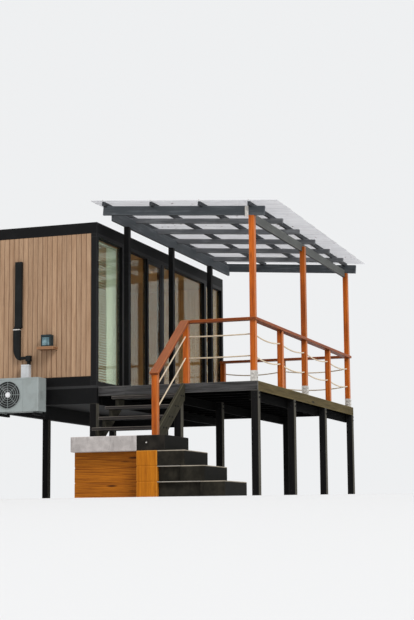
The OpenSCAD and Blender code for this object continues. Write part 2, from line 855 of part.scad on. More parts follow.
// The skirting boards round three walls, the back one kept clear of the others by gap
module skirt_bars(gap) {
    block([cabin_x0, cabin_y0, floor_z], [wall_x - wall_t, cabin_y0 + skirt_t, floor_z + skirt_h]);
    block([cabin_x0, cabin_y1 - skirt_t, floor_z], [wall_x - wall_t, cabin_y1, floor_z + skirt_h]);
    block([cabin_x0, cabin_y0 + skirt_t + gap, floor_z],
        [cabin_x0 + skirt_t, cabin_y1 - skirt_t - gap, floor_z + skirt_h]);
}

module wall_skirts() {
    color(black) skirt_bars(board_gap);
}

module window_sill() {
    color(black) {
        block([wall_x - wall_t, cabin_y0, floor_z], [wall_x, cabin_y1, sill_z]);
        block([leaf_x0 + track_in, bays[1][0], sill_z], [leaf_x1 - track_in, door_y1, sill_z + track_h]);
    }
}

module window_head() {
    color(black) block([wall_x - wall_t, cabin_y0, head_z], [wall_x, cabin_y1, roof_z0]);
}

module window_posts() {
    color(black) {
        edges = [cabin_y0, bays[0][0], bays[0][0] + bay_a, bays[1][0], door_y1, bays[2][0],
            bays[2][0] + bay_c, bay_d0, bay_d1, cabin_y1];
        for (i = [0:4]) block([wall_x - wall_t, edges[2 * i], sill_z], [wall_x, edges[2 * i + 1], head_z]);
        block([wall_x - wall_t, stile_y0, sill_z], [leaf_x0 - leaf_gap, stile_y0 + leaf_rail, head_z]);
    }
}

module window_glass() {
    color([0.6, 0.7, 0.68, 0.35]) {
        for (b = [bays[0], bays[2], [bay_d0, bay_d1 - bay_d0]])
            block([pane_x0, b[0], sill_z], [pane_x1, b[0] + b[1], head_z]);
        block([pane_x0, bays[1][0], sill_z], [pane_x1, stile_y0, head_z]);
    }
}

module door_leaf() {
    y = leaf_y1 - (leaf_rail + pull_t) / 2;
    z = floor_z + pull_z - pull_l / 2;
    color(black) {
        difference() {
            block([leaf_x0, leaf_y0, leaf_z0], [leaf_x1, leaf_y1, leaf_z1]);
            block([leaf_x0 - 1, leaf_y0 + leaf_rail, leaf_z0 + leaf_rail],
                [leaf_x1 + 1, leaf_y1 - leaf_rail, leaf_z1 - leaf_rail]);
        }
        block([leaf_x1 + pull_out - pull_t, y, z], [leaf_x1 + pull_out, y + pull_t, z + pull_l]);
        for (lug = [z, z + pull_l - pull_t])
            block([leaf_x1, y, lug], [leaf_x1 + pull_out, y + pull_t, lug + pull_t]);
    }
}

module door_glass() {
    x = (leaf_x0 + leaf_x1 - glass_t) / 2;
    color([0.6, 0.7, 0.68, 0.35]) block([x, leaf_y0 + leaf_rail, leaf_z0 + leaf_rail],
        [x + glass_t, leaf_y1 - leaf_rail, leaf_z1 - leaf_rail]);
}

module cabin_roof() {
    t = roof_fascia_t;
    color(black) block([cabin_x0 + t, cabin_y0 + t, roof_z0], [wall_x - t, cabin_y1 - t, roof_z1]);
}

module roof_fascia() {
    t = roof_fascia_t;
    g = board_gap;
    color(black) {
        for (y = [cabin_y0, cabin_y1 - t]) block([cabin_x0, y, roof_z0], [wall_x, y + t, roof_z1]);
        for (x = [cabin_x0, wall_x - t])
            block([x, cabin_y0 + t + g, roof_z0], [x + t, cabin_y1 - t - g, roof_z1]);
    }
}

// A cylinder along Y from y0 to y1 round the fan's axis
module fan_round(d, y0, y1) {
    translate([fan_x, y1, fan_z]) rotate([90, 0, 0]) cylinder(h = y1 - y0, d = d, $fn = 72);
}

// Children turned about the fan's axis by equal steps
module round_fan(count) {
    translate([fan_x, 0, fan_z]) for (i = [0:count - 1]) rotate([0, i * 360 / count, 0]) children();
}

module unit_casing() {
    seam_z = unit_z1 - cover_h - seam;
    difference() {
        translate([0, 0, unit_z0 + unit_foot]) linear_extrude(unit_h - unit_foot) {
            translate([unit_x0 + unit_r, unit_y0]) square([unit_w - 2 * unit_r, unit_d]);
            translate([unit_x0, unit_y0 + unit_r]) square([unit_w, unit_d - unit_r]);
            for (x = [unit_x0 + unit_r, unit_x1 - unit_r])
                translate([x, unit_y0 + unit_r]) circle(r = unit_r, $fn = 48);
        }
        fan_round(fan_d, unit_y0 - 1, unit_y0 + fan_deep);
        block([unit_x1 - service_w, unit_y0 - 1, unit_z0],
            [unit_x1 - service_w + seam, unit_y0 + seam, seam_z + seam]);
        difference() {
            block([unit_x0 - 1, unit_y0 - 1, seam_z], [unit_x1 + 1, unit_y1 + 1, seam_z + seam]);
            block([unit_x0 + seam, unit_y0 + seam, seam_z - 1],
                [unit_x1 - seam, unit_y1 - seam, seam_z + seam + 1]);
        }
    }
}

// The fan on its motor, and the guard of rings and spokes in front of it
module unit_fan() {
    guard_y = unit_y0 - 2 * guard_t;
    fan_round(hub_d, unit_y0 + guard_t, unit_y0 + fan_deep + 1);
    intersection() {
        round_fan(blade_count) translate([0, unit_y0 + (fan_deep + guard_t) / 2, 0])
            rotate([blade_pitch, 0, 0])
            block([0, -blade_t / 2, -fan_deep / 2], [fan_d / 2, blade_t / 2, fan_deep / 2]);
        fan_round(fan_d - 4 * guard_t, unit_y0 + 2 * guard_t, unit_y0 + fan_deep - guard_t);
    }
    for (i = [1:ring_count]) difference() {
        d = i * fan_d / ring_count;
        fan_round(d + 2 * guard_t, guard_y, i == ring_count ? unit_y0 : guard_y + guard_t);
        fan_round(d, guard_y - 1, unit_y0 + 1);
    }
    round_fan(spoke_count)
        block([0, guard_y + guard_t / 2, -guard_t / 2],
            [(fan_d + guard_t) / 2, guard_y + 1.5 * guard_t, guard_t / 2]);
    fan_round(hub_d / 2, guard_y, guard_y + guard_t);
}

module outdoor_unit() {
    color([0.72, 0.73, 0.72]) {
        unit_casing();
        unit_fan();
        for (x = [unit_x1 - bracket_in, unit_x0 + bracket_in - bracket_w])
            block([x, unit_y0 + unit_r, unit_z0], [x + bracket_w, unit_y1, unit_z0 + unit_foot]);
    }
}

module unit_brackets() {
    color([0.3, 0.3, 0.3]) for (x = [unit_x1 - bracket_in, unit_x0 + bracket_in - bracket_w]) {
        block([x, unit_y0, unit_z0 - bracket_w], [x + bracket_w, cabin_y0, unit_z0]);
        block([x, cabin_y0 - bracket_w, unit_z0], [x + bracket_w, cabin_y0, chassis_z1 - bracket_down]);
    }
}

module wall_duct() {
    x0 = duct_x0 + duct_step;
    x1 = duct_x0 + duct_w;
    y = cabin_y0 - duct_t;
    pipe_y = cabin_y0 - run_t;
    joint_z = deck_top + coupling_z;
    foot_z = deck_top + duct_z + duct_foot;
    run_z = deck_top + duct_z + run_up;
    tee_x = x1 + run_l;
    tee_z = deck_top + duct_z - tee_down;
    spigot_x = tee_x + (tee_w - spigot_w) / 2;
    t = coupling_t;
    toe = concat([[0, 0]], [for (turn = [0:7.5:90]) [-duct_w * cos(turn), -duct_foot * sin(turn)]]);
    color(black) {
        block([x0, y, joint_z], [x0 + duct_w, cabin_y0, deck_top + duct_top]);
        block([x0 - t, y - t, joint_z], [x0 + duct_w + t, cabin_y0, joint_z + coupling_h]);
        block([duct_x0, y, foot_z], [x1, cabin_y0, joint_z]);
        translate([x1, cabin_y0, foot_z]) rotate([90, 0, 0]) linear_extrude(duct_t) polygon(toe);
        block([x1, pipe_y, run_z], [tee_x, cabin_y0, run_z + run_h]);
        block([tee_x, y, tee_z], [tee_x + tee_w, cabin_y0, tee_z + tee_h]);
        block([spigot_x, pipe_y, deck_top + cover_z + cover_l], [spigot_x + spigot_w, cabin_y0, tee_z]);
    }
}

module wall_boxes() {
    x = box_x0 + shelf_x;
    y = cabin_y0;
    z = deck_top + shelf_z;
    color([0.7, 0.7, 0.7])
        block([box_x0, y - cover_t, deck_top + cover_z],
            [box_x0 + cover_w, y, deck_top + cover_z + cover_l]);
    color([0.1, 0.1, 0.1]) {
        block([x + box_in, y - box_d, z], [x + box_in + box_w, y, z + box_h]);
        block([x, y - shelf_d, z - shelf_t], [x + shelf_w, y, z]);
    }
}

deck_stilts();
cabin_stilts();
deck_bearers();
deck_joists();
deck_boards();
front_fascia();
side_fascia();
back_fascia();
pergola_posts();
post_shoes();
wall_posts();
outer_beam();
inner_beam();
front_rafter();
back_rafter();
rafters();
purlins();
roof_sheets();
rail_posts();
stair_newels();
front_handrail();
side_handrail();
back_handrail();
stair_handrail();
rail_ropes();
stair_stringers();
stair_treads();
pale_block();
dark_block();
sleeper_pier();
sleeper_panel();
step_blocks();
cabin_base();
cabin_floor();
near_wall();
far_wall();
back_wall();
wall_skirts();
window_sill();
window_head();
window_posts();
window_glass();
door_leaf();
door_glass();
cabin_roof();
roof_fascia();
outdoor_unit();
unit_brackets();
wall_duct();
wall_boxes();
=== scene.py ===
"""Looks of the stilt house: a glazed cabin on stilts, with a deck, rope rails and a pergola."""

import json
import logging
import math
import random
from dataclasses import astuple, dataclass
from enum import Enum
from functools import lru_cache
from typing import Any, Iterable, Optional, Sequence

import bmesh
import bpy
from mathutils import Matrix, Vector


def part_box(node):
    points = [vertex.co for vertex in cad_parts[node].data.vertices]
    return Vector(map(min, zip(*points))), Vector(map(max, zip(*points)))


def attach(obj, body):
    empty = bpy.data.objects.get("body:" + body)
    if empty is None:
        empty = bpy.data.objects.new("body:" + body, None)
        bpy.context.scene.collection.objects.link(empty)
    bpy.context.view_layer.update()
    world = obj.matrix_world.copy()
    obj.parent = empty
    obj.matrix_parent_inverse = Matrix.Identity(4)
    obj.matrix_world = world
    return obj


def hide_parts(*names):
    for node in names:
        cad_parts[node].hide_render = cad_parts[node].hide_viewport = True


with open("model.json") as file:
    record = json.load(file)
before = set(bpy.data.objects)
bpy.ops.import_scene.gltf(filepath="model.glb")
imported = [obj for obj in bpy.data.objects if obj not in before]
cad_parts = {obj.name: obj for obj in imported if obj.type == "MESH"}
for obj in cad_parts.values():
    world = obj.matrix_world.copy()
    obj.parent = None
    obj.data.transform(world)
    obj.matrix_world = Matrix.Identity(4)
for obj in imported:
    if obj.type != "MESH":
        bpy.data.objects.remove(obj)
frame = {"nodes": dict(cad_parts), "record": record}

LOG = logging.getLogger("stilt_house")
MM = 0.001
WELD = 2e-5
FLAT_DEGREES = 0.5
SQUARE = 0.1  # Two edges are square to each other where their cosine is under this.
PAINTED_UNDERSIDE_SHADE = 0.004  # Painted shade: how light a timber or a rail is made where it faces down.

Triple = Sequence[float]
Span = tuple[float, float]


def srgb(red: int, green: int, blue: int) -> tuple[float, float, float]:
    """Turn a display colour into the linear one that shaders use.

    Args:
        red: Red from 0 to 255.
        green: Green from 0 to 255.
        blue: Blue from 0 to 255.

    Returns:
        The linear colour.
    """
    def line(part: int) -> float:
        """Undo the display curve for one part of the colour."""
        share = part / 255
        return share / 12.92 if share <= 0.04045 else ((share + 0.055) / 1.055) ** 2.4

    return line(red), line(green), line(blue)


class Body(Enum):
    """The bodies that a piece can ride on."""

    HOUSE = "house"
    DOOR = "door"


class Kind(Enum):
    """What a shader link carries."""

    VALUE = "value"
    VECTOR = "vector"
    COLOUR = "colour"


class Wire:
    """One output socket, with the arithmetic that a finish needs written as operators."""

    def __init__(self, graph: "Graph", socket: bpy.types.NodeSocket) -> None:
        """Keep the socket and work out what it carries.

        Args:
            graph: The graph that the socket's node is in.
            socket: The output socket.
        """
        self.graph = graph
        self.socket = socket
        self.kind = {"VECTOR": Kind.VECTOR, "RGBA": Kind.COLOUR}.get(socket.type, Kind.VALUE)

    def _with(self, operation: str, first: Any, second: Any) -> "Wire":
        """Join two operands by one operation, in the node that suits what they carry.

        Args:
            operation: The operation's name in Blender.
            first: A link, a number or a triple.
            second: A link, a number or a triple.

        Returns:
            The result.
        """
        kinds = {w.kind for w in (first, second) if isinstance(w, Wire)}
        if Kind.COLOUR in kinds:
            return self.graph.mix(first, second, 1.0, operation)
        node = "ShaderNodeVectorMath" if Kind.VECTOR in kinds else "ShaderNodeMath"
        return self.graph.node(node, {"operation": operation}, {0: first, 1: second})

    def _alone(self, operation: str) -> "Wire":
        """Apply an operation that takes this value or vector alone."""
        node = "ShaderNodeVectorMath" if self.kind is Kind.VECTOR else "ShaderNodeMath"
        return self.graph.node(node, {"operation": operation}, {0: self})

    def __add__(self, other: Any) -> "Wire":
        """Sum of the two."""
        return self._with("ADD", self, other)

    def __radd__(self, other: Any) -> "Wire":
        """Sum of the two, the other first."""
        return self._with("ADD", other, self)

    def __sub__(self, other: Any) -> "Wire":
        """The other taken from this."""
        return self._with("SUBTRACT", self, other)

    def __rsub__(self, other: Any) -> "Wire":
        """This taken from the other."""
        return self._with("SUBTRACT", other, self)

    def __mul__(self, other: Any) -> "Wire":
        """Product of the two."""
        return self._with("MULTIPLY", self, other)

    def __truediv__(self, other: Any) -> "Wire":
        """This over the other."""
        return self._with("DIVIDE", self, other)

    def least(self, other: Any) -> "Wire":
        """The smaller of the two."""
        return self._with("MINIMUM", self, other)

    def most(self, other: Any) -> "Wire":
        """The larger of the two."""
        return self._with("MAXIMUM", self, other)

    def wave(self) -> "Wire":
        """Sine of the value, in radians."""
        return self._alone("SINE")

    def fraction(self) -> "Wire":
        """What the value is past the whole number below it."""
        return self._alone("FRACT")

    def length(self) -> "Wire":
        """How long the vector is."""
        return self._alone("LENGTH")

    def size(self) -> "Wire":
        """The vector with each of its parts made positive."""
        return self._alone("ABSOLUTE")

    def step(self, start: float, end: float) -> "Wire":
        """Rise smoothly from 0 at start to 1 at end, or fall where end is the smaller.

        Args:
            start: The value at which the result is 0.
            end: The value at which the result is 1.

        Returns:
            The smoothed step.
        """
        low, high = sorted((start, end))
        ends = (0.0, 1.0) if start < end else (1.0, 0.0)
        sockets = {"Value": self, "From Min": low, "From Max": high}
        sockets |= {"To Min": ends[0], "To Max": ends[1]}
        return self.graph.node(
            "ShaderNodeMapRange", {"interpolation_type": "SMOOTHSTEP"}, sockets
        )

    def parts(self) -> tuple["Wire", "Wire", "Wire"]:
        """The X, Y and Z of a vector."""
        made = self.graph.raw("ShaderNodeSeparateXYZ", {}, {0: self})
        return tuple(Wire(self.graph, made.outputs[i]) for i in range(3))


class Graph:
    """The node graph of one material or of the world."""

    output: str = "ShaderNodeOutputMaterial"

    def __init__(self, name: str) -> None:
        """Start an empty graph.

        Args:
            name: The name of the material or the world.
        """
        self.owner = self._owner(name)
        self.owner.use_nodes = True
        self.nodes = self.owner.node_tree.nodes
        self.links = self.owner.node_tree.links
        self.nodes.clear()

    @staticmethod
    def _owner(name: str) -> bpy.types.ID:
        """The data-block that the graph belongs to."""
        return bpy.data.materials.new(name)

    def raw(self, kind: str, settings: dict[str, Any], sockets: dict[Any, Any]) -> bpy.types.Node:
        """Add a node, apply its settings and then fill its sockets.

        Args:
            kind: The node's type.
            settings: The node's own settings.
            sockets: Values or links by the socket's place or name.

        Returns:
            The node.
        """
        made = self.nodes.new(kind)
        for word, value in settings.items():
            setattr(made, word, value)
        for key, value in sockets.items():
            target = made.inputs[key] if isinstance(key, int) else self._named(made, key)
            if isinstance(value, Wire):
                self.links.new(value.socket, target)
            elif target.type == "RGBA":
                target.default_value = (*tuple(value)[:3], 1.0)
            elif target.type == "VECTOR" and isinstance(value, (int, float)):
                target.default_value = (value,) * 3
            else:
                target.default_value = value
        return made

    def node(self, kind: str, settings: dict[str, Any], sockets: dict[Any, Any],
             out: str = "") -> Wire:
        """Add a node as raw does, and hand back its output of a name, or else its first one."""
        made = self.raw(kind, settings, sockets)
        return Wire(self, next(s for s in made.outputs if s.enabled and out in ("", s.name)))

    @staticmethod
    def _named(made: bpy.types.Node, key: str) -> bpy.types.NodeSocket:
        """Find the input of that name which is in use."""
        return next(s for s in made.inputs if s.enabled and s.name == key)

    def mix(self, first: Any, second: Any, share: Any, blend: str = "MIX") -> Wire:
        """Mix two colours by a share.

        Args:
            first: The colour at share 0.
            second: The colour at share 1.
            share: A number or a value link.
            blend: The way of mixing.

        Returns:
            The mixed colour.
        """
        def plain(item: Any) -> Any:
            """A grey colour from a bare number."""
            return (item,) * 3 if isinstance(item, (int, float)) else item

        settings = {"data_type": "RGBA", "blend_type": blend, "clamp_factor": True}
        sockets = {"Factor": share, "A": plain(first), "B": plain(second)}
        return self.node("ShaderNodeMix", settings, sockets)

    def times(self, first: Any, second: Any) -> Wire:
        """One colour times the other."""
        return self.mix(first, second, 1.0, "MULTIPLY")

    def attribute(self, name: str, out: str = "Vector") -> Wire:
        """Read an attribute of the piece, by default as a vector."""
        return self.node("ShaderNodeAttribute", {"attribute_name": name}, {}, out)

    def solid(self) -> tuple[Wire, Wire, Wire]:
        """Where a point lies in its solid, half that solid's size, and the solid's own tone."""
        return self.attribute("place"), self.attribute("half"), self.attribute("tone", "Fac")

    def place(self) -> Wire:
        """The point on the object, in metres in the shared frame."""
        return self.node("ShaderNodeTexCoord", {}, {}, "Object")

    def facing(self) -> Wire:
        """The direction that the surface faces, in the object's own axes."""
        return self.node("ShaderNodeTexCoord", {}, {}, "Normal")

    def noise(self, where: Wire, scale: float | Triple, detail: float = 3.0,
              rough: float = 0.55) -> Wire:
        """Smooth noise from 0 to 1.

        Args:
            where: The point to read it at.
            scale: Cells in a metre, for all three axes or for each of them.
            detail: Octaves.
            rough: Share that each octave keeps.

        Returns:
            The value.
        """
        if not isinstance(scale, float):
            where, scale = where * scale, 1.0
        sockets = {"Vector": where, "Scale": scale, "Detail": detail, "Roughness": rough}
        return self.node("ShaderNodeTexNoise", {}, sockets)

    def cells(self, where: Wire, scale: float, out: str = "Distance") -> Wire:
        """Distance to the nearest of scattered points, or by out that point's colour."""
        return self.node("ShaderNodeTexVoronoi", {}, {"Vector": where, "Scale": scale}, out)

    def bump(self, height: Wire, depth: float, strength: float = 1.0) -> Wire:
        """A bumped normal.

        Args:
            height: The height from 0 to 1.
            depth: How deep 1 is, in metres.
            strength: Share of the effect.

        Returns:
            The normal.
        """
        sockets = {"Height": height, "Distance": depth, "Strength": strength}
        return self.node("ShaderNodeBump", {}, sockets)

    def surface(self, sockets: dict[str, Any]) -> Wire:
        """Add the main shader."""
        return self.node("ShaderNodeBsdfPrincipled", {}, sockets)

    def shared(self, share: Any, first: Wire, second: Wire) -> Wire:
        """Two shaders, the second by its share."""
        return self.node("ShaderNodeMixShader", {}, {0: share, 1: first, 2: second})

    def see_through(self, colour: Triple) -> Wire:
        """A shader that lets light pass straight on, tinted."""
        return self.node("ShaderNodeBsdfTransparent", {}, {"Color": colour})

    def close(self, shader: Wire) -> bpy.types.ID:
        """Join the shader to the output and hand back the material or the world."""
        self.raw(self.output, {}, {"Surface": shader})
        return self.owner


class Surroundings(Graph):
    """The node graph of the world."""

    output: str = "ShaderNodeOutputWorld"

    @staticmethod
    def _owner(name: str) -> bpy.types.World:
        """The world that the graph belongs to."""
        return bpy.data.worlds.new(name)

    def ray(self, kind: str) -> Wire:
        """Whether a ray is of a kind."""
        return self.node("ShaderNodeLightPath", {}, {}, f"Is {kind} Ray")

    def glow(self, colour: Triple, strength: float) -> Wire:
        """Light of one colour and strength."""
        return self.node("ShaderNodeBackground", {}, {"Color": colour, "Strength": strength})


def worn_edge(place: Wire, half: Wire, fray: Wire) -> Wire:
    """How near a point is to an arris of its solid, frayed a little.

    Args:
        place: Where the point lies in its solid.
        half: Half the solid's size.
        fray: Noise that moves the edge of the worn band.

    Returns:
        1 on the arris and 0 away from it.
    """
    ragged, sound, bare = 12 * MM, 11 * MM, 1 * MM
    a, b, c = (half - place.size()).parts()
    second = a.least(b).most(a.most(b).least(c))
    return (second + (fray - 0.5) * ragged).step(sound, bare)


class Finish:
    """A way of finishing a surface. Each kind fills in make."""

    name: str

    def make(self) -> bpy.types.Material:
        """Build the material."""
        raise NotImplementedError

    @lru_cache(maxsize=None)
    def material(self) -> bpy.types.Material:
        """The material, built once."""
        return self.make()


@dataclass(frozen=True)
class Timber(Finish):
    """Sawn or planed timber, its grain along each solid's longest edge.

    The piece's own attributes say where a point lies in its solid, so that every board has its
    own figure, its end grain shows rings and its arrises wear.
    """

    name: str
    dark: Triple
    light: Triple
    worn: Triple
    wear: float = 0.5
    rough: float = 0.6
    coat: float = 0.0
    knots: float = 0.5
    grey: Triple = (0.2, 0.2, 0.2)
    greying: float = 0.0
    spread: float = 0.35
    ring_gap: float = 0.011
    ring_drift: float = 16.0
    pith: float = 0.06
    pith_play: float = 0.4
    gloss: float = 0.5
    vary: float = 0.5
    # Share of painted light that makes faces looking along +X paler, as if lit from that side.
    painted_lit_side: float = 0.0
    # Share of painted shade on faces that look down.
    under: float = 0.0
    upright: bool = False
    streak_scale: Triple = (1.6, 26.0, 26.0)
    slow_scale: Triple = (0.7, 3.0, 3.0)
    fibre_scale: Triple = (9.0, 330.0, 330.0)
    knot_scale: Triple = (1.3, 6.5, 6.5)
    shift: float = 37.0
    relief: float = 1.8 * MM

    def make(self) -> bpy.types.Material:
        """Build the material.

        Returns:
            The material.
        """
        t = Graph(self.name)
        place, half, tone = t.solid()
        seeded = place + tone * self.shift
        streak = t.noise(seeded, self._turned(self.streak_scale), detail=4.0, rough=0.6)
        slow = t.noise(seeded, self._turned(self.slow_scale), detail=2.0)
        fibre = t.noise(seeded, self._turned(self.fibre_scale), detail=2.0)
        rings = self._rings(t, seeded, tone, slow + streak * 0.35)
        figure = streak * 0.62 + rings * 0.22 + slow * 0.16
        figure = figure.step(0.5 - self.spread, 0.5 + self.spread)
        colour = t.mix(self.dark, self.light, figure)
        colour = t.times(colour, 0.97 - self.vary / 2 + tone * self.vary)
        colour = t.mix(colour, t.times(colour, 0.55), fibre.step(0.5, 0.3) * 0.5)
        knot = t.cells(seeded * self.knot_scale, 1.0).step(0.16, 0.06) * self.knots
        colour = t.mix(colour, t.times(self.dark, 0.3), knot)
        right, _, above = t.facing().parts()
        weathered = above.step(0.3, 0.9) * (0.55 + streak * 0.7) * self.greying
        colour = t.mix(colour, self.grey, weathered)
        # Painted light: faces that look along +X are made paler and greyer, as if lit from that
        # side.
        colour = t.mix(colour, self.grey, right.step(0.4, 0.9) * (0.5 + streak) * self.painted_lit_side)
        # Painted shade: faces that look down are darkened by the share under.
        colour = t.mix(colour, PAINTED_UNDERSIDE_SHADE, above.step(-0.4, -0.9) * self.under)
        edge = worn_edge(place, half, fibre)
        height = streak * 0.5 + fibre * 0.35 + rings * 0.15 - knot * 0.3
        return t.close(t.surface({
            "Base Color": t.mix(colour, self.worn, edge * self.wear),
            "Roughness": self.rough + (0.5 - streak) * 0.25 + edge * 0.12,
            "Normal": t.bump(height, self.relief, strength=0.7),
            "Coat Weight": self.coat,
            "Coat Roughness": 0.25,
            "Specular IOR Level": self.gloss,
        }))

    def _turned(self, scale: Triple) -> Triple:
        """A scale along the grain, turned over where the piece shows its grain upright."""
        return tuple(reversed(scale)) if self.upright else scale

    def _rings(self, t: Graph, seeded: Wire, tone: Wire, drift: Wire) -> Wire | float:
        """Growth rings round a pith beside the board, left flat where the grain is upright.

        Args:
            t: The material's graph.
            seeded: The point in the board, moved by the board's tone.
            tone: The board's tone.
            drift: Noise that the rings wander with.

        Returns:
            The rings, from 0 to 1.
        """
        if self.upright:
            return 0.5
        _, across, deep = seeded.parts()
        sockets = {"Y": across + tone * self.pith_play, "Z": deep + self.pith}
        from_pith = t.node("ShaderNodeCombineXYZ", {}, sockets)
        turns = from_pith.length() * (math.tau / self.ring_gap)
        return (turns + drift * self.ring_drift).wave() * 0.5 + 0.5


@dataclass(frozen=True)
class Paint(Finish):
    """Paint or powder coat that has weathered: chalky streaks, dust and rubbed arrises."""

    name: str
    base: Triple
    chalk: Triple
    dust: float = 0.3
    rough: float = 0.5
    brushed: bool = False
    wear: float = 0.4
    gloss: float = 0.5
    # Share of painted shade on faces that look down.
    under: float = 0.0
    shift: float = 29.0
    brushed_scale: Triple = (2.2, 30.0, 30.0)
    smooth_scale: Triple = (9.0, 9.0, 9.0)
    relief: float = 0.9 * MM
    smooth_relief: float = 0.4 * MM

    def make(self) -> bpy.types.Material:
        """Build the material.

        Returns:
            The material.
        """
        t = Graph(self.name)
        place, half, tone = t.solid()
        seeded = place + tone * self.shift
        scale = self.brushed_scale if self.brushed else self.smooth_scale
        streak = t.noise(seeded, scale, detail=5.0, rough=0.62)
        blotch = t.noise(seeded, 2.3, detail=4.0, rough=0.6)
        fine = t.noise(seeded, 420.0, detail=2.0)
        chalk = (streak * 0.6 + blotch * 0.4).step(0.46, 0.72) * self.dust
        colour = t.mix(t.times(self.base, 0.86 + tone * 0.3), self.chalk, chalk)
        above = t.facing().parts()[2]
        settled = above.step(0.4, 0.95) * (0.3 + blotch * 0.6) * self.dust
        colour = t.mix(colour, self.chalk, settled)
        colour = t.mix(colour, self.chalk, worn_edge(place, half, streak) * self.wear)
        relief = self.relief if self.brushed else self.smooth_relief
        return t.close(t.surface({
            # Painted shade: faces that look down are darkened by the share under.
            "Base Color": t.mix(colour, PAINTED_UNDERSIDE_SHADE, above.step(-0.4, -0.9) * self.under),
            "Roughness": self.rough + chalk * 0.3 + (fine - 0.5) * 0.06,
            "Specular IOR Level": self.gloss,
            "Normal": t.bump(streak * 0.7 + fine * 0.3, relief, strength=0.6),
        }))


@dataclass(frozen=True)
class Cast(Finish):
    """Cast concrete: mottled, with pinholes, a pale bloom and chipped arrises."""

    name: str
    base: Triple
    pale: Triple
    bloom: float = 0.4
    # Share of painted shade that turns faces looking along +X near black.
    painted_side_shade: float = 0.0
    # Height of a course; where set, a painted highlight runs just under each course's top.
    course: float = 0.0
    crest: Triple = (0.4, 0.38, 0.34)
    painted_highlight_band: Span = (0.925, 0.965)
    gloss: float = 0.5
    shift: float = 17.0
    # The colour of that painted side shade.
    side_shade_colour: Triple = (0.006, 0.006, 0.005)
    # The colour that pinholes are painted, for the shade inside them.
    pinhole_shade: Triple = (0.02, 0.02, 0.02)
    relief: float = 4 * MM

    def make(self) -> bpy.types.Material:
        """Build the material.

        Returns:
            The material.
        """
        t = Graph(self.name)
        place, half, tone = t.solid()
        seeded = place + tone * self.shift
        cloud = t.noise(seeded, 5.0, detail=6.0, rough=0.6)
        sand = t.noise(seeded, 190.0, rough=0.6)
        run = t.noise(t.place(), (14.0, 14.0, 2.2))
        holes = t.cells(seeded, 34.0).step(0.2, 0.07) * t.noise(seeded, 9.0).step(0.5, 0.62)
        colour = t.mix(self.base, self.pale, cloud.step(0.38, 0.7) * self.bloom)
        colour = t.times(colour, 0.74 + sand * 0.5)
        colour = t.mix(colour, t.times(colour, 0.6), run.step(0.5, 0.75) * 0.7)
        right, _, above = t.facing().parts()
        # Painted light: faces that look up are made paler, as if lit from above.
        colour = t.mix(colour, self.pale, above.step(0.4, 0.95) * 0.45)
        colour = t.mix(colour, self.pale, worn_edge(place, half, cloud) * 0.55)
        # Painted shade: faces that look along +X are darkened, as if in shade.
        colour = t.mix(colour, self.side_shade_colour, right.step(0.4, 0.9) * self.painted_side_shade)
        # Painted shade: pinholes are made near black, for the shade inside them.
        colour = t.mix(colour, self.pinhole_shade, holes * 0.8)
        # Painted highlight: a pale band just under the top of each course, for its lit top edge.
        if self.course:
            risen = (t.place().parts()[2] / self.course).fraction()
            colour = t.mix(colour, self.crest, risen.step(*self.painted_highlight_band) * (cloud * 1.1 + 0.1))
        return t.close(t.surface({
            "Base Color": colour,
            "Roughness": 0.78 + (sand - 0.5) * 0.2,
            "Specular IOR Level": self.gloss,
            "Normal": t.bump(cloud * 0.4 + sand * 0.4 - holes, self.relief, strength=0.8),
        }))


@dataclass(frozen=True)
class Zinc(Finish):
    """Galvanised steel: faint spangle, dull white bloom."""

    name: str
    base: Triple
    bloom: Triple
    metallic: float = 0.55
    spangle: float = 90.0
    relief: float = 0.6 * MM

    def make(self) -> bpy.types.Material:
        """Build the material.

        Returns:
            The material.
        """
        t = Graph(self.name)
        place = t.place()
        shade = t.node("ShaderNodeRGBToBW", {}, {0: t.cells(place, self.spangle, "Color")})
        cloud = t.noise(place, 22.0, detail=4.0)
        colour = t.mix(self.base, self.bloom, cloud.step(0.4, 0.7) * 0.8)
        return t.close(t.surface({
            "Base Color": t.times(colour, 0.86 + shade * 0.28),
            "Roughness": 0.42 + cloud * 0.25,
            "Metallic": self.metallic,
            "Normal": t.bump(cloud, self.relief, strength=0.5),
        }))


@dataclass(frozen=True)
class Pane(Finish):
    """Clear glass with a faint green body."""

    name: str
    tint: Triple
    clear: float = 0.8

    def make(self) -> bpy.types.Material:
        """Build the material.

        Returns:
            The material.
        """
        t = Graph(self.name)
        haze = t.noise(t.place(), 3.0)
        skin = t.surface({
            "Base Color": self.tint,
            "Roughness": 0.01 + haze.step(0.5, 0.9) * 0.03,
            "Transmission Weight": 1.0,
            "IOR": 1.5,
        })
        return t.close(t.shared(self.clear, skin, t.see_through(self.tint)))


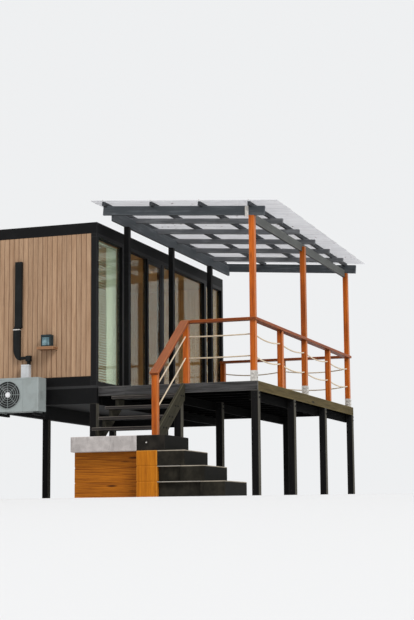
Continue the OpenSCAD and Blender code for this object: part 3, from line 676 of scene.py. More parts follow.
@dataclass(frozen=True)
class RoofSheet(Finish):
    """Translucent corrugated sheet with brown stains and specks, and dust with painted shade in its
    valleys.
    """

    name: str
    base: Triple
    stain: Triple
    grime_and_shade: Triple
    clear: float = 0.4
    glow: float = 0.82
    pitch: float = 78.125 * MM
    relief: float = 1 * MM

    def make(self) -> bpy.types.Material:
        """Build the material.

        Returns:
            The material.
        """
        t = Graph(self.name)
        place = t.place()
        cloud = t.noise(place, 1.3, detail=4.0, rough=0.6)
        drip = t.noise(place, (1.2, 9.0, 1.0), detail=4.0, rough=0.6)
        speck = t.cells(place * (1.0, 1.0, 0.2), 8.0).step(0.24, 0.12)
        patch = t.noise(place, 0.9).step(0.5, 0.66)
        colour = t.mix(self.base, self.grime_and_shade, drip.step(0.45, 0.75) * 0.4)
        # Painted shade and dust: the valleys of the corrugations are darkened.
        valley_shade_and_dust = (place.parts()[1] * (math.tau / self.pitch)).wave().step(0.1, 0.9)
        colour = t.mix(colour, t.times(self.grime_and_shade, 0.6), valley_shade_and_dust * (drip - 0.25))
        colour = t.mix(colour, self.stain, (speck * patch + cloud.step(0.62, 0.8) * 0.3) * 0.75)
        skin = t.surface({
            "Base Color": colour,
            "Roughness": 0.3 + cloud * 0.2,
            "Normal": t.bump(drip, self.relief, strength=0.4),
        })
        body = t.shared(self.glow, skin, t.node("ShaderNodeBsdfTranslucent", {}, {"Color": colour}))
        return t.close(t.shared(self.clear, body, t.see_through(self.base)))


@dataclass(frozen=True)
class Plastic(Finish):
    """Moulded plastic or enamel with fine orange peel and settled dust."""

    name: str
    base: Triple
    dust: Triple
    rough: float = 0.5
    amount: float = 0.3
    gloss: float = 0.5
    relief: float = 0.1 * MM

    def make(self) -> bpy.types.Material:
        """Build the material.

        Returns:
            The material.
        """
        t = Graph(self.name)
        place = t.place()
        colour, cloud = self.colour(t, place)
        return t.close(t.surface({
            "Base Color": colour,
            "Roughness": self.rough + cloud * 0.15,
            "Specular IOR Level": self.gloss,
            "Normal": t.bump(t.noise(place, 900.0, detail=1.0), self.relief, strength=0.4),
        }))

    def colour(self, t: Graph, place: Wire) -> tuple[Wire, Wire]:
        """Work out the dusty colour.

        Args:
            t: The material's graph.
            place: The point on the object.

        Returns:
            The colour, and the cloud that the dust lies in.
        """
        cloud = t.noise(place, 7.0, detail=5.0, rough=0.6)
        run = t.noise(place, (22.0, 22.0, 1.6))
        colour = t.mix(self.base, self.dust, cloud.step(0.4, 0.75) * self.amount)
        colour = t.mix(colour, self.dust, run.step(0.55, 0.8) * self.amount)
        up = t.facing().parts()[2].step(0.5, 0.95)
        return t.mix(colour, self.dust, up * self.amount), cloud


@dataclass(frozen=True)
class UnitShell(Plastic):
    """The outdoor unit's enamel, dark inside the fan's opening and pale on its hub."""

    fan: Triple = (0.0, 0.0, 0.0)
    reach: float = 0.2
    # The painted near black of the fan and the shade inside its opening.
    dark: Triple = (0.012, 0.012, 0.013)
    hub: float = 45 * MM
    cap: Triple = (0.78, 0.79, 0.8)
    blur: float = 1 * MM

    def colour(self, t: Graph, place: Wire) -> tuple[Wire, Wire]:
        """Turn the dusty colour dark behind the guard and pale on the hub.

        Args:
            t: The material's graph.
            place: The point on the object.

        Returns:
            The colour, and the cloud that the dust lies in.
        """
        shell, cloud = super().colour(t, place)
        from_fan = place - self.fan
        flat = (from_fan * (1.0, 0.0, 1.0)).length()
        inside = flat.step(self.reach + self.blur, self.reach - self.blur)
        behind = from_fan.parts()[1].step(0.0, 2 * self.blur)
        # Painted shade and fan: the shell is made near black inside the fan's opening and behind
        # the guard.
        shell = t.mix(shell, self.dark, inside * behind)
        return t.mix(shell, self.cap, flat.step(self.hub + self.blur, self.hub - self.blur)), cloud


@dataclass(frozen=True)
class Twist(Finish):
    """Laid rope: pale fibres that follow each strand."""

    name: str
    pale: Triple
    deep: Triple
    relief: float = 1 * MM

    def make(self) -> bpy.types.Material:
        """Build the material.

        Returns:
            The material.
        """
        t = Graph(self.name)
        place = t.attribute("place")
        hair = t.noise(place, (60.0, 420.0, 420.0))
        soil = t.noise(place, 3.0)
        colour = t.mix(self.deep, self.pale, hair.step(0.25, 0.7))
        return t.close(t.surface({
            "Base Color": t.mix(colour, self.deep, soil.step(0.5, 0.8) * 0.5),
            "Roughness": 0.85,
            "Normal": t.bump(hair, self.relief, strength=0.7),
        }))


class Wood:
    """The timber finishes of the house."""

    OILED_POST = Timber(
        "oiled_post", srgb(104, 36, 6), srgb(212, 108, 26), srgb(216, 140, 74),
        wear=0.4, rough=0.42, coat=0.05, knots=0.9, grey=srgb(196, 138, 86), greying=0.3,
        painted_lit_side=0.2, spread=0.26, gloss=0.15,
    )
    OILED_RAIL = Timber(
        "oiled_rail", srgb(80, 30, 12), srgb(168, 84, 34), srgb(190, 122, 72),
        wear=0.5, rough=0.5, coat=0.03, knots=0.4, grey=srgb(152, 98, 68), greying=0.5,
        gloss=0.12,
    )
    BLACK = Timber(
        "black_timber", srgb(8, 8, 9), srgb(26, 25, 25), srgb(76, 74, 68),
        wear=0.45, rough=0.74, knots=0.4, grey=srgb(112, 108, 96), greying=0.25, spread=0.3,
        gloss=0.1, painted_lit_side=0.4, under=0.8,
    )
    # Painted light: the black timber of the back fascia, made lighter and streakier on the front
    # fascia for the sun on its face.
    FASCIA = Timber(
        "fascia_timber", srgb(22, 21, 21), srgb(92, 91, 91), srgb(120, 118, 114),
        wear=0.6, rough=0.74, knots=0.4, spread=0.22, gloss=0.1, under=0.8,
    )
    STRINGER = Timber(
        "stringer_timber", srgb(14, 13, 11), srgb(44, 42, 34), srgb(96, 92, 76),
        wear=0.6, rough=0.74, knots=0.4, grey=srgb(84, 80, 64), greying=0.3, gloss=0.1,
        painted_lit_side=0.3, under=0.8,
    )
    # Painted light: the black timber of the stair, made lighter on the treads for the light on
    # their tops and nosings.
    TREAD = Timber(
        "black_tread", srgb(26, 24, 24), srgb(62, 58, 56), srgb(120, 114, 106),
        wear=0.7, rough=0.7, knots=0.4, grey=srgb(98, 94, 90), greying=0.5, gloss=0.15, under=0.9,
    )
    SHADED = Timber(
        "shaded_timber", srgb(3, 3, 3), srgb(9, 9, 8), srgb(20, 19, 17),
        wear=0.3, rough=0.85, knots=0.2, gloss=0.04, under=0.9,
    )
    OLIVE = Timber(
        "olive_board", srgb(44, 36, 16), srgb(98, 84, 46), srgb(132, 118, 78),
        wear=0.6, rough=0.72, knots=1.0, grey=srgb(130, 120, 88), greying=0.4, gloss=0.15,
    )
    DECK = Timber(
        "deck_board", srgb(66, 56, 48), srgb(122, 108, 94), srgb(140, 128, 116),
        wear=0.5, rough=0.72, knots=0.5, grey=srgb(128, 120, 112), greying=0.6, under=0.97,
    )
    SLEEPER = Timber(
        "sleeper", srgb(100, 46, 6), srgb(196, 118, 26), srgb(216, 152, 68),
        wear=0.5, rough=0.66, knots=0.9, grey=srgb(212, 160, 92), greying=0.4,
        ring_gap=0.016, vary=0.3, gloss=0.12,
    )
    PIER = Timber(
        "sleeper_end", srgb(120, 58, 6), srgb(206, 128, 24), srgb(224, 160, 70),
        wear=0.5, rough=0.66, knots=0.7, grey=srgb(212, 160, 92), greying=0.4,
        vary=0.3, gloss=0.12, upright=True,
    )
    CLADDING = Timber(
        "cladding", srgb(136, 102, 74), srgb(188, 156, 126), srgb(104, 78, 58),
        wear=0.5, rough=0.68, knots=0.25, grey=srgb(184, 160, 138), greying=0.2, vary=0.16,
        gloss=0.3,
    )
    PLY = Timber(
        "floor_ply", srgb(206, 150, 100), srgb(240, 198, 146), srgb(240, 206, 160),
        wear=0.2, rough=0.5, coat=0.1, knots=0.15, ring_gap=0.03,
    )
    SHELF = Timber(
        "shelf_board", srgb(96, 62, 38), srgb(160, 112, 72), srgb(186, 146, 110),
        wear=0.5, rough=0.7, knots=0.2,
    )


class Coat:
    """The painted, coated, cast and moulded finishes of the house."""

    CHARCOAL = Paint(
        "charcoal_paint", srgb(58, 63, 67), srgb(134, 138, 142), dust=0.36, rough=0.6,
        brushed=True, wear=0.35, gloss=0.3, under=0.9,
    )
    # Painted light: the charcoal paint of the beams, made lighter on the rafters to make up for the
    # shade that the roof sheets cast on them.
    SLATE = Paint(
        "slate_paint", srgb(92, 94, 97), srgb(150, 152, 154), dust=0.5, rough=0.6,
        brushed=True, wear=0.35, gloss=0.3, under=0.9,
    )
    PURLIN = Paint(
        "purlin_paint", srgb(38, 41, 45), srgb(108, 112, 116), dust=0.25, rough=0.6,
        brushed=True, wear=0.3, gloss=0.3, under=0.95,
    )
    GREY = Paint(
        "grey_paint", srgb(84, 86, 83), srgb(150, 152, 146), dust=0.34, rough=0.6,
        brushed=True, wear=0.4, gloss=0.3, under=0.95,
    )
    BLACK_STEEL = Paint(
        "black_steel", srgb(9, 9, 10), srgb(62, 62, 62), dust=0.08, rough=0.6, wear=0.15,
        gloss=0.12, under=0.8,
    )
    BLACK_FRAME = Paint(
        "black_frame", srgb(9, 9, 10), srgb(66, 68, 68), dust=0.06, rough=0.5, wear=0.2,
        gloss=0.15,
    )
    ROOF = Paint(
        "roof_skin", srgb(44, 46, 50), srgb(112, 112, 112), dust=0.5, rough=0.5, wear=0.2,
    )
    ZINC = Zinc("pale_steel", srgb(186, 182, 176), srgb(222, 218, 212))
    PALE_CAST = Cast("pale_concrete", srgb(158, 152, 149), srgb(204, 197, 194), bloom=0.6)
    DARK_CAST = Cast(
        "dark_concrete", srgb(25, 23, 20), srgb(66, 61, 54), bloom=0.3, painted_side_shade=0.9, gloss=0.1,
    )
    # Painted highlight: a pale line under the top of each 225 mm course.
    STEP_CAST = Cast(
        "step_concrete", srgb(27, 25, 20), srgb(72, 67, 57), bloom=0.3, painted_side_shade=0.9,
        course=225 * MM, crest=srgb(176, 166, 150), gloss=0.1,
    )
    GLASS = Pane("clear_glass", (0.9, 0.95, 0.9))
    SHEET = RoofSheet(
        "clear_sheet", srgb(244, 244, 245), srgb(124, 98, 80), srgb(222, 221, 223), clear=0.62,
    )
    MEMBRANE = Plastic("floor_membrane", srgb(20, 20, 21), srgb(44, 42, 40), rough=0.7)
    GASKET = Plastic("gasket_rubber", srgb(12, 12, 12), srgb(40, 40, 40), rough=0.6)
    MORTAR = Cast("mortar", srgb(150, 144, 134), srgb(188, 182, 172), bloom=0.6)
    SHELL = Plastic(
        "unit_shell", srgb(142, 150, 149), srgb(112, 116, 112), rough=0.4, amount=0.35,
    )
    BLACK_PLASTIC = Plastic(
        "black_plastic", srgb(11, 14, 14), srgb(56, 60, 60), rough=0.5, amount=0.12, gloss=0.15,
    )
    METER = Plastic("meter_box", srgb(24, 38, 42), srgb(70, 86, 90), rough=0.4, gloss=0.2)
    METER_GLASS = Plastic(
        "meter_glass", srgb(52, 84, 92), srgb(150, 182, 190), rough=0.15, amount=0.8,
    )
    GREY_PLASTIC = Plastic("grey_plastic", srgb(196, 198, 200), srgb(150, 150, 150), rough=0.45)
    BLIND = Plastic("blind_slats", srgb(230, 230, 212), srgb(204, 206, 186), rough=0.5)
    ROPE = Twist("rope", srgb(230, 216, 192), srgb(160, 136, 106))


class Shape:
    """A bmesh on its way to being one piece, in metres in the shared frame."""

    def __init__(self, seed: int = 1) -> None:
        """Start empty.

        Args:
            seed: Sets the tones that its solids get.
        """
        self.bm = bmesh.new()
        self.seed = seed

    @classmethod
    def of(cls, node: str) -> "Shape":
        """Copy a CAD node and merge its doubled vertices.

        Args:
            node: The node's name.

        Returns:
            The shape.
        """
        made = cls(seed=len(node))
        made.bm.from_mesh(frame["nodes"][node].data)
        bmesh.ops.remove_doubles(made.bm, verts=made.bm.verts, dist=WELD)
        return made

    @classmethod
    def eased(cls, node: str, width: float) -> "Shape":
        """Copy a CAD node, join its flat faces and ease its arrises.

        Args:
            node: The node's name.
            width: How far an arris is eased.

        Returns:
            The shape.
        """
        made = cls.of(node)
        bmesh.ops.dissolve_limit(
            made.bm, angle_limit=math.radians(FLAT_DEGREES), verts=made.bm.verts,
            edges=made.bm.edges,
        )
        return made.ease(width)

    def ease(self, width: float, least_angle: float = 28.0) -> "Shape":
        """Bevel every arris sharper than an angle.

        Args:
            width: How far the bevel reaches.
            least_angle: Degrees between the two faces' directions.

        Returns:
            The shape itself.
        """
        least = math.radians(least_angle)
        self._bevel(
            (e for e in self.bm.edges if len(e.link_faces) == 2 and e.calc_face_angle() > least),
            width,
        )
        return self

    def _bevel(self, edges: Iterable[bmesh.types.BMEdge], width: float) -> None:
        """Cut one flat face along each of the edges."""
        bmesh.ops.bevel(
            self.bm, geom=list(edges), offset=width, offset_type="OFFSET", segments=1,
            profile=0.5, affect="EDGES", clamp_overlap=True, material=-1,
        )

    def block(self, low: Triple, high: Triple) -> list[bmesh.types.BMVert]:
        """Add a box between two corners.

        Args:
            low: Lowest corner.
            high: Highest corner.

        Returns:
            Its vertices.
        """
        a, b = Vector(low), Vector(high)
        where = Matrix.Translation((a + b) / 2) @ Matrix.Diagonal((*(b - a), 1.0))
        return bmesh.ops.create_cube(self.bm, size=1.0, matrix=where)["verts"]

    def turned_block(self, size: Triple, where: Matrix) -> list[bmesh.types.BMVert]:
        """Add a box of a size, centred and turned by a matrix."""
        return bmesh.ops.create_cube(
            self.bm, size=1.0, matrix=where @ Matrix.Diagonal((*size, 1.0))
        )["verts"]

    def rod(self, start: Triple, end: Triple, radius: float, sides: int = 8,
            tip: Optional[float] = None) -> list[bmesh.types.BMVert]:
        """Add a rod or a cone between two points.

        Args:
            start: Middle of its first end.
            end: Middle of its other end.
            radius: Radius at the first end.
            sides: Faces round it.
            tip: Radius at the other end, where it differs.

        Returns:
            Its vertices.
        """
        a, b = Vector(start), Vector(end)
        turn = (b - a).to_track_quat("Z", "Y").to_matrix().to_4x4()
        return bmesh.ops.create_cone(
            self.bm, cap_ends=True, segments=sides, radius1=radius,
            radius2=radius if tip is None else tip, depth=(b - a).length,
            matrix=Matrix.Translation((a + b) / 2) @ turn,
        )["verts"]

    def bolt(self, at: Triple, out: Triple, size: float) -> None:
        """Add a hexagon bolt head on its washer.

        Args:
            at: The point on the surface.
            out: The direction away from the surface.
            size: Width across the head, which the shares below are of.
        """
        washer_up, washer_round, sunk, head_up, head_round, chamfer = (
            size * share for share in (0.16, 0.85, 0.14, 0.7, 0.52, 0.06)
        )
        start, way = Vector(at), Vector(out).normalized()
        self.rod(start, start + way * washer_up, washer_round, sides=12)
        head = self.rod(start + way * sunk, start + way * head_up, head_round, sides=6)
        self._bevel(self._edges(head), chamfer)

    def screw(self, at: Triple, out: Triple, size: float) -> None:
        """Add a low round screw head.

        Args:
            at: The point on the surface.
            out: The direction away from the surface.
            size: Width of the head, which the shares below are of.
        """
        sunk, head_up, foot_round, top_round = (size * share for share in (0.2, 0.16, 0.5, 0.36))
        start, way = Vector(at), Vector(out).normalized()
        self.rod(start - way * sunk, start + way * head_up, foot_round, tip=top_round)

    def solids(self) -> list[list[bmesh.types.BMVert]]:
        """Group the vertices by the solid that they belong to.

        Returns:
            One list of vertices a solid.
        """
        seen: set[bmesh.types.BMVert] = set()
        groups = []
        for first in self.bm.verts:
            if first in seen:
                continue
            group, queue = [], [first]
            seen.add(first)
            while queue:
                vert = queue.pop()
                group.append(vert)
                for edge in vert.link_edges:
                    other = edge.other_vert(vert)
                    if other not in seen:
                        seen.add(other)
                        queue.append(other)
            groups.append(group)
        return groups

    @staticmethod
    def _edges(verts: Iterable[bmesh.types.BMVert]) -> list[bmesh.types.BMEdge]:
        """The edges at some vertices, each once and in an order that is the same in each run."""
        return list(dict.fromkeys(e for v in verts for e in v.link_edges))

    @classmethod
    def _axes(cls, group: list[bmesh.types.BMVert]) -> Matrix:
        """Find a solid's own axes.

        Args:
            group: The solid's vertices.

        Returns:
            The axes as rows: along its longest edge, across, and through.
        """
        ranked = sorted(
            cls._edges(group), key=lambda e: (-round(e.calc_length(), 6), e.verts[0].co.z)
        )
        along = (ranked[0].verts[1].co - ranked[0].verts[0].co).normalized()
        across = next(
            (w for w in ((e.verts[1].co - e.verts[0].co).normalized() for e in ranked)
             if abs(w.dot(along)) < SQUARE),
            along.orthogonal().normalized(),
        )
        across = (across - along * across.dot(along)).normalized()
        return Matrix((along, across, along.cross(across)))

    def piece(self, name: str, finish: Finish, slot: Optional[str] = None,
              replaces: Sequence[str] = (), body: Body = Body.HOUSE,
              smooth: bool = False) -> bpy.types.Object:
        """Turn the shape into a piece of the house.

        Args:
            name: The piece's name.
            finish: How its surface is finished.
            slot: The record's material slot, where it has one; not used.
            replaces: The CAD nodes that it stands for.
            body: The body that it rides on.
            smooth: Whether its faces are shaded smoothly.

        Returns:
            The object.
        """
        self.bm.verts.index_update()
        place, half, tone = self._solid_values()
        mesh = bpy.data.meshes.new(name)
        self.bm.to_mesh(mesh)
        self.bm.free()
        for word, sort, field, values in (
            ("place", "FLOAT_VECTOR", "vector", place),
            ("half", "FLOAT_VECTOR", "vector", half),
            ("tone", "FLOAT", "value", tone),
        ):
            mesh.attributes.new(word, sort, "POINT").data.foreach_set(field, values)
        mesh.polygons.foreach_set("use_smooth", [smooth] * len(mesh.polygons))
        mesh.materials.append(finish.material())
        made = bpy.data.objects.new(name, mesh)
        bpy.context.scene.collection.objects.link(made)
        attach(made, body.value)
        if replaces:
            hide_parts(*replaces)
        LOG.info("%s: %d faces on %s", made.name, len(made.data.polygons), body.value)
        return made

    def _solid_values(self) -> tuple[list[float], list[float], list[float]]:
        """Work out what a finish reads of each vertex.

        Returns:
            Its place in its solid and half the solid's size, each as X, Y, Z one after the
            other, and the solid's tone.
        """
        count = len(self.bm.verts)
        place, half, tone = [0.0] * (3 * count), [0.0] * (3 * count), [0.0] * count
        dice = random.Random(self.seed)
        for group in self.solids():
            axes = self._axes(group)
            local = [axes @ v.co for v in group]
            low = [min(p[i] for p in local) for i in range(3)]
            high = [max(p[i] for p in local) for i in range(3)]
            shade = dice.random()
            for vert, p in zip(group, local):
                for i in range(3):
                    place[3 * vert.index + i] = p[i] - (low[i] + high[i]) / 2
                    half[3 * vert.index + i] = (high[i] - low[i]) / 2
                tone[vert.index] = shade
        return place, half, tone


@dataclass
class Box:
    """Lowest and highest corner of a solid."""

    low: Vector
    high: Vector

    @classmethod
    def of(cls, node: str) -> "Box":
        """The box of a whole CAD node."""
        return cls(*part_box(node))

    @property
    def middle(self) -> Vector:
        """The middle of the box."""
        return (self.low + self.high) / 2

    def span(self, axis: int) -> float:
        """How long the box is along an axis."""
        return self.high[axis] - self.low[axis]

    def at(self, axis: int, share: float) -> float:
        """The place at a share of the way along an axis."""
        return self.low[axis] + self.span(axis) * share


@lru_cache(maxsize=None)
def boxes(node: str) -> tuple[Box, ...]:
    """The boxes of a CAD node's solids, in order along Y and then X.

    Args:
        node: The node's name.

    Returns:
        One box a solid.
    """
    shape = Shape.of(node)
    found = []
    for group in shape.solids():
        low = Vector(min(v.co[i] for v in group) for i in range(3))
        high = Vector(max(v.co[i] for v in group) for i in range(3))
        found.append(Box(low, high))
    shape.bm.free()
    return tuple(sorted(found, key=lambda b: (round(b.low.y, 3), round(b.low.x, 3))))


def strips(start: float, end: float, wide: float, joint: float) -> list[Span]:
    """Fill a length with strips of one width, as near as it goes to the one asked for.

    Args:
        start: Where the length begins.
        end: Where it ends.
        wide: The width to come near to, with one joint.
        joint: The gap between two strips, half of which is left at each end too.

    Returns:
        Start and end of each strip.
    """
    count = max(1, round((end - start) / wide))
    step = (end - start) / count
    starts = (start + i * step for i in range(count))
    return [(at + joint / 2, at + step - joint / 2) for at in starts]


@dataclass(frozen=True)
class Lamp:
    """A broad sun: its strength, how wide it is and where it stands, in degrees."""

    name: str
    energy: float
    wide: float
    azimuth: float
    height: float


@dataclass
class Studio:
    """Camera, floor, lamps and world."""

    eye: Triple = (6.949, -21.881, -0.349)
    yaw: float = 19.469
    pitch: float = 8.095
    roll: float = -0.442
    lens: float = 86.31
    film: float = 36.0
    farthest: float = 400.0
    crest: float = -2.0
    drop: float = 2.6
    foot: float = -24.0
    spread: float = 140.0
    rows: int = 400
    floor: Triple = (0.73, 0.735, 0.74)
    lamps: tuple[Lamp, ...] = (
        Lamp("key", 2.3, 22.0, 56.0, 42.0),
        Lamp("side", 0.506, 60.0, -50.0, 25.0),
    )
    fill: float = 0.62
    backdrop: Triple = (0.86, 0.87, 0.88)

    def build(self) -> None:
        """Make everything that isn't part of the house."""
        self._camera()
        self._floor()
        self._lamps()
        self._world()
        bpy.context.scene.view_settings.view_transform = "Standard"

    def _camera(self) -> None:
        """Stand the camera where the photograph was taken from."""
        yaw, pitch, roll = (math.radians(a) for a in (self.yaw, self.pitch, self.roll))
        ahead = Vector((-math.sin(yaw) * math.cos(pitch), math.cos(yaw) * math.cos(pitch),
                        math.sin(pitch)))
        right = Vector((math.cos(yaw), math.sin(yaw), 0.0))
        up = right.cross(ahead)
        side = right * math.cos(roll) + up * math.sin(roll)
        top = up * math.cos(roll) - right * math.sin(roll)
        data = bpy.data.cameras.new("camera")
        data.sensor_width = self.film
        data.lens = self.lens
        data.clip_end = self.farthest
        camera = bpy.data.objects.new("camera", data)
        turn = Matrix((side, top, -ahead)).transposed().to_4x4()
        camera.matrix_world = Matrix.Translation(self.eye) @ turn
        bpy.context.scene.collection.objects.link(camera)
        bpy.context.scene.camera = camera

    def _floor(self) -> None:
        """A pale floor: level under the house, falling gently towards the camera."""
        shape = Shape()
        bmesh.ops.create_grid(shape.bm, x_segments=2, y_segments=self.rows, size=self.spread)
        for vert in shape.bm.verts:
            share = min(max((self.crest - vert.co.y) / (self.crest - self.foot), 0.0), 1.0)
            vert.co.z = -self.drop * share * share * (3 - 2 * share)
        mesh = bpy.data.meshes.new("floor")
        shape.bm.to_mesh(mesh)
        shape.bm.free()
        mesh.polygons.foreach_set("use_smooth", [True] * len(mesh.polygons))
        t = Graph("floor")
        sockets = {"Base Color": self.floor, "Roughness": 0.9, "Specular IOR Level": 0.1}
        mesh.materials.append(t.close(t.surface(sockets)))
        floor = bpy.data.objects.new("floor", mesh)
        bpy.context.scene.collection.objects.link(floor)

    def _lamps(self) -> None:
        """One broad lamp from the upper right and a weaker one from the left."""
        for lamp in self.lamps:
            data = bpy.data.lights.new(lamp.name, "SUN")
            data.energy = lamp.energy
            data.angle = math.radians(lamp.wide)
            made = bpy.data.objects.new(lamp.name, data)
            a, h = math.radians(lamp.azimuth), math.radians(lamp.height)
            back = Vector((math.sin(a) * math.cos(h), -math.cos(a) * math.cos(h), math.sin(h)))
            made.rotation_euler = back.to_track_quat("Z", "Y").to_euler()
            bpy.context.scene.collection.objects.link(made)

    def _world(self) -> None:
        """Even light, and a pale backdrop where the camera, gloss or glass looks at it."""
        t = Surroundings("studio")
        seen = t.ray("Camera").most(t.ray("Glossy").most(t.ray("Transmission")))
        light, pale = t.glow((1.0, 1.0, 1.0), self.fill), t.glow(self.backdrop, 1.0)
        bpy.context.scene.world = t.close(t.shared(seen, light, pale))


@dataclass
class Carcass:
    """Posts, beams, rails, stairs and plinths that keep the CAD's shape, their arrises eased."""

    eased: tuple[tuple[str, Finish, float], ...] = (
        ("deck_stilts", Wood.BLACK, 4 * MM),
        ("cabin_stilts", Wood.BLACK, 4 * MM),
        ("deck_bearers", Wood.SHADED, 3 * MM),
        ("deck_joists", Wood.SHADED, 3 * MM),
        ("front_fascia", Wood.FASCIA, 3 * MM),
        ("side_fascia", Wood.OLIVE, 3 * MM),
        ("back_fascia", Wood.BLACK, 3 * MM),
        ("pergola_posts", Wood.OILED_POST, 4 * MM),
        ("rail_posts", Wood.OILED_POST, 4 * MM),
        ("stair_newels", Wood.OILED_POST, 4 * MM),
        ("front_handrail", Wood.OILED_RAIL, 5 * MM),
        ("side_handrail", Wood.OILED_RAIL, 5 * MM),
        ("back_handrail", Wood.OILED_RAIL, 5 * MM),
        ("stair_handrail", Wood.OILED_RAIL, 5 * MM),
        ("stair_stringers", Wood.STRINGER, 3 * MM),
        ("stair_treads", Wood.TREAD, 5 * MM),
        ("outer_beam", Coat.GREY, 3 * MM),
        ("inner_beam", Coat.CHARCOAL, 3 * MM),
        ("front_rafter", Coat.CHARCOAL, 2 * MM),
        ("back_rafter", Coat.CHARCOAL, 2 * MM),
        ("rafters", Coat.SLATE, 2 * MM),
        ("purlins", Coat.PURLIN, 2 * MM),
        ("wall_posts", Coat.BLACK_STEEL, 3 * MM),
        ("cabin_base", Coat.BLACK_STEEL, 4 * MM),
        ("wall_skirts", Coat.BLACK_STEEL, 2 * MM),
        ("roof_fascia", Coat.BLACK_STEEL, 3 * MM),
        ("window_sill", Coat.BLACK_FRAME, 2 * MM),
        ("window_head", Coat.BLACK_FRAME, 2 * MM),
        ("window_posts", Coat.BLACK_FRAME, 3 * MM),
        ("post_shoes", Coat.ZINC, 1 * MM),
        ("unit_brackets", Coat.BLACK_STEEL, 2 * MM),
        ("sleeper_pier", Wood.PIER, 6 * MM),
        ("sleeper_panel", Wood.SLEEPER, 6 * MM),
        ("pale_block", Coat.PALE_CAST, 7 * MM),
        ("step_blocks", Coat.STEP_CAST, 7 * MM),
        ("wall_duct", Coat.BLACK_PLASTIC, 1.5 * MM),
    )

    def build(self) -> None:
        """Replace each node by its eased copy."""
        slots = {row["node"]: row["material_slot"] for row in frame["record"]["subparts"]}
        for node, finish, width in self.eased:
            Shape.eased(node, width).piece(f"{node}_eased", finish, slots[node], [node])


@dataclass
class Decking:
    """Single boards along the deck, butted over joists and screwed to each of them."""

    width: float = 142 * MM
    gap: float = 5 * MM
    ease: float = 2.5 * MM
    screw: float = 9 * MM
    screw_in: float = 25 * MM
    butt_in: float = 12 * MM
    butt_play: float = 1.25 * MM
    first_butt: int = 4
    butt_stride: int = 5
    butts: int = 6

    def build(self) -> None:
        """Replace the deck's slab by its boards."""
        deck, joists = Box.of("deck_boards"), boxes("deck_joists")
        count = round((deck.span(0) + self.gap) / (self.width + self.gap))
        width = (deck.span(0) - (count - 1) * self.gap) / count
        boards, heads, play = Shape(seed=11), Shape(seed=12), self.butt_play
        for i in range(count):
            x = deck.low.x + i * (width + self.gap)
            butt = joists[self.first_butt + i * self.butt_stride % self.butts]
            for start, end in ((deck.low.y, butt.middle.y), (butt.middle.y, deck.high.y)):
                boards.block((x, start + play, deck.low.z), (x + width, end - play, deck.high.z))
            for joist in joists:
                rows = (-self.butt_in, self.butt_in) if joist is butt else (0.0,)
                for across in (x + self.screw_in, x + width - self.screw_in):
                    for shift in rows:
                        at = (across, joist.middle.y + shift, deck.high.z)
                        heads.screw(at, (0, 0, 1), self.screw)
        boards.ease(self.ease).piece("deck_planks", Wood.DECK, "deck_board", ["deck_boards"])
        heads.piece("deck_screws", Coat.ZINC, "pale_steel")


@dataclass
class Wall:
    """A timber wall: upright grooved boards outside, a core, and sheets of ply inside."""

    node: str
    along: int
    outward: int
    board: float = 87 * MM
    cladding: float = 18 * MM
    lining: float = 16 * MM
    joint: float = 3 * MM
    vee: float = 5 * MM
    sheet: float = 1.2
    sheet_joint: float = 2.5 * MM
    sheet_ease: float = 1 * MM

    @property
    def box(self) -> Box:
        """The wall's own box."""
        return Box.of(self.node)

    def build(self) -> None:
        """Replace the wall's panel by its layers."""
        box, thick = self.box, self.box.span(1 - self.along)
        corner = self.cladding if self.along == 0 else 0.0
        start, end = box.low[self.along], box.high[self.along]
        inside = (start + corner, end)
        heights = (box.low.z, box.high.z)
        above_skirt = (Box.of("wall_skirts").high.z, box.high.z)
        skin = Shape(seed=len(self.node) + self.outward)
        for span in strips(start, end, self.board, self.joint):
            self._slab(skin, span, (0.0, self.cladding), above_skirt)
        if corner:
            self._slab(skin, (start, start + corner), (self.cladding, thick), above_skirt)
        skin.ease(self.vee).piece(f"{self.node}_cladding", Wood.CLADDING, "cladding", [self.node])
        core = Shape()
        self._slab(core, inside, (self.cladding, thick - self.lining), heights)
        core.piece(f"{self.node}_core", Coat.MEMBRANE)
        inner = Shape(seed=len(self.node))
        for span in strips(*inside, self.sheet, self.sheet_joint):
            self._slab(inner, span, (thick - self.lining, thick), heights)
        inner.ease(self.sheet_ease).piece(f"{self.node}_lining", Wood.PLY, "floor_ply")

    def _slab(self, shape: Shape, span: Span, depth: Span, heights: Span) -> None:
        """Add a block by its place in the wall.

        Args:
            shape: What it is added to.
            span: Its start and end along the wall.
            depth: How far its two faces lie behind the wall's outer face.
            heights: Its foot and head.
        """
        across = 1 - self.along
        face = self.box.low[across] if self.outward < 0 else self.box.high[across]
        near, far = sorted(face - self.outward * d for d in depth)
        low, high = [0.0, 0.0, heights[0]], [0.0, 0.0, heights[1]]
        low[self.along], high[self.along] = span
        low[across], high[across] = near, far
        shape.block(low, high)


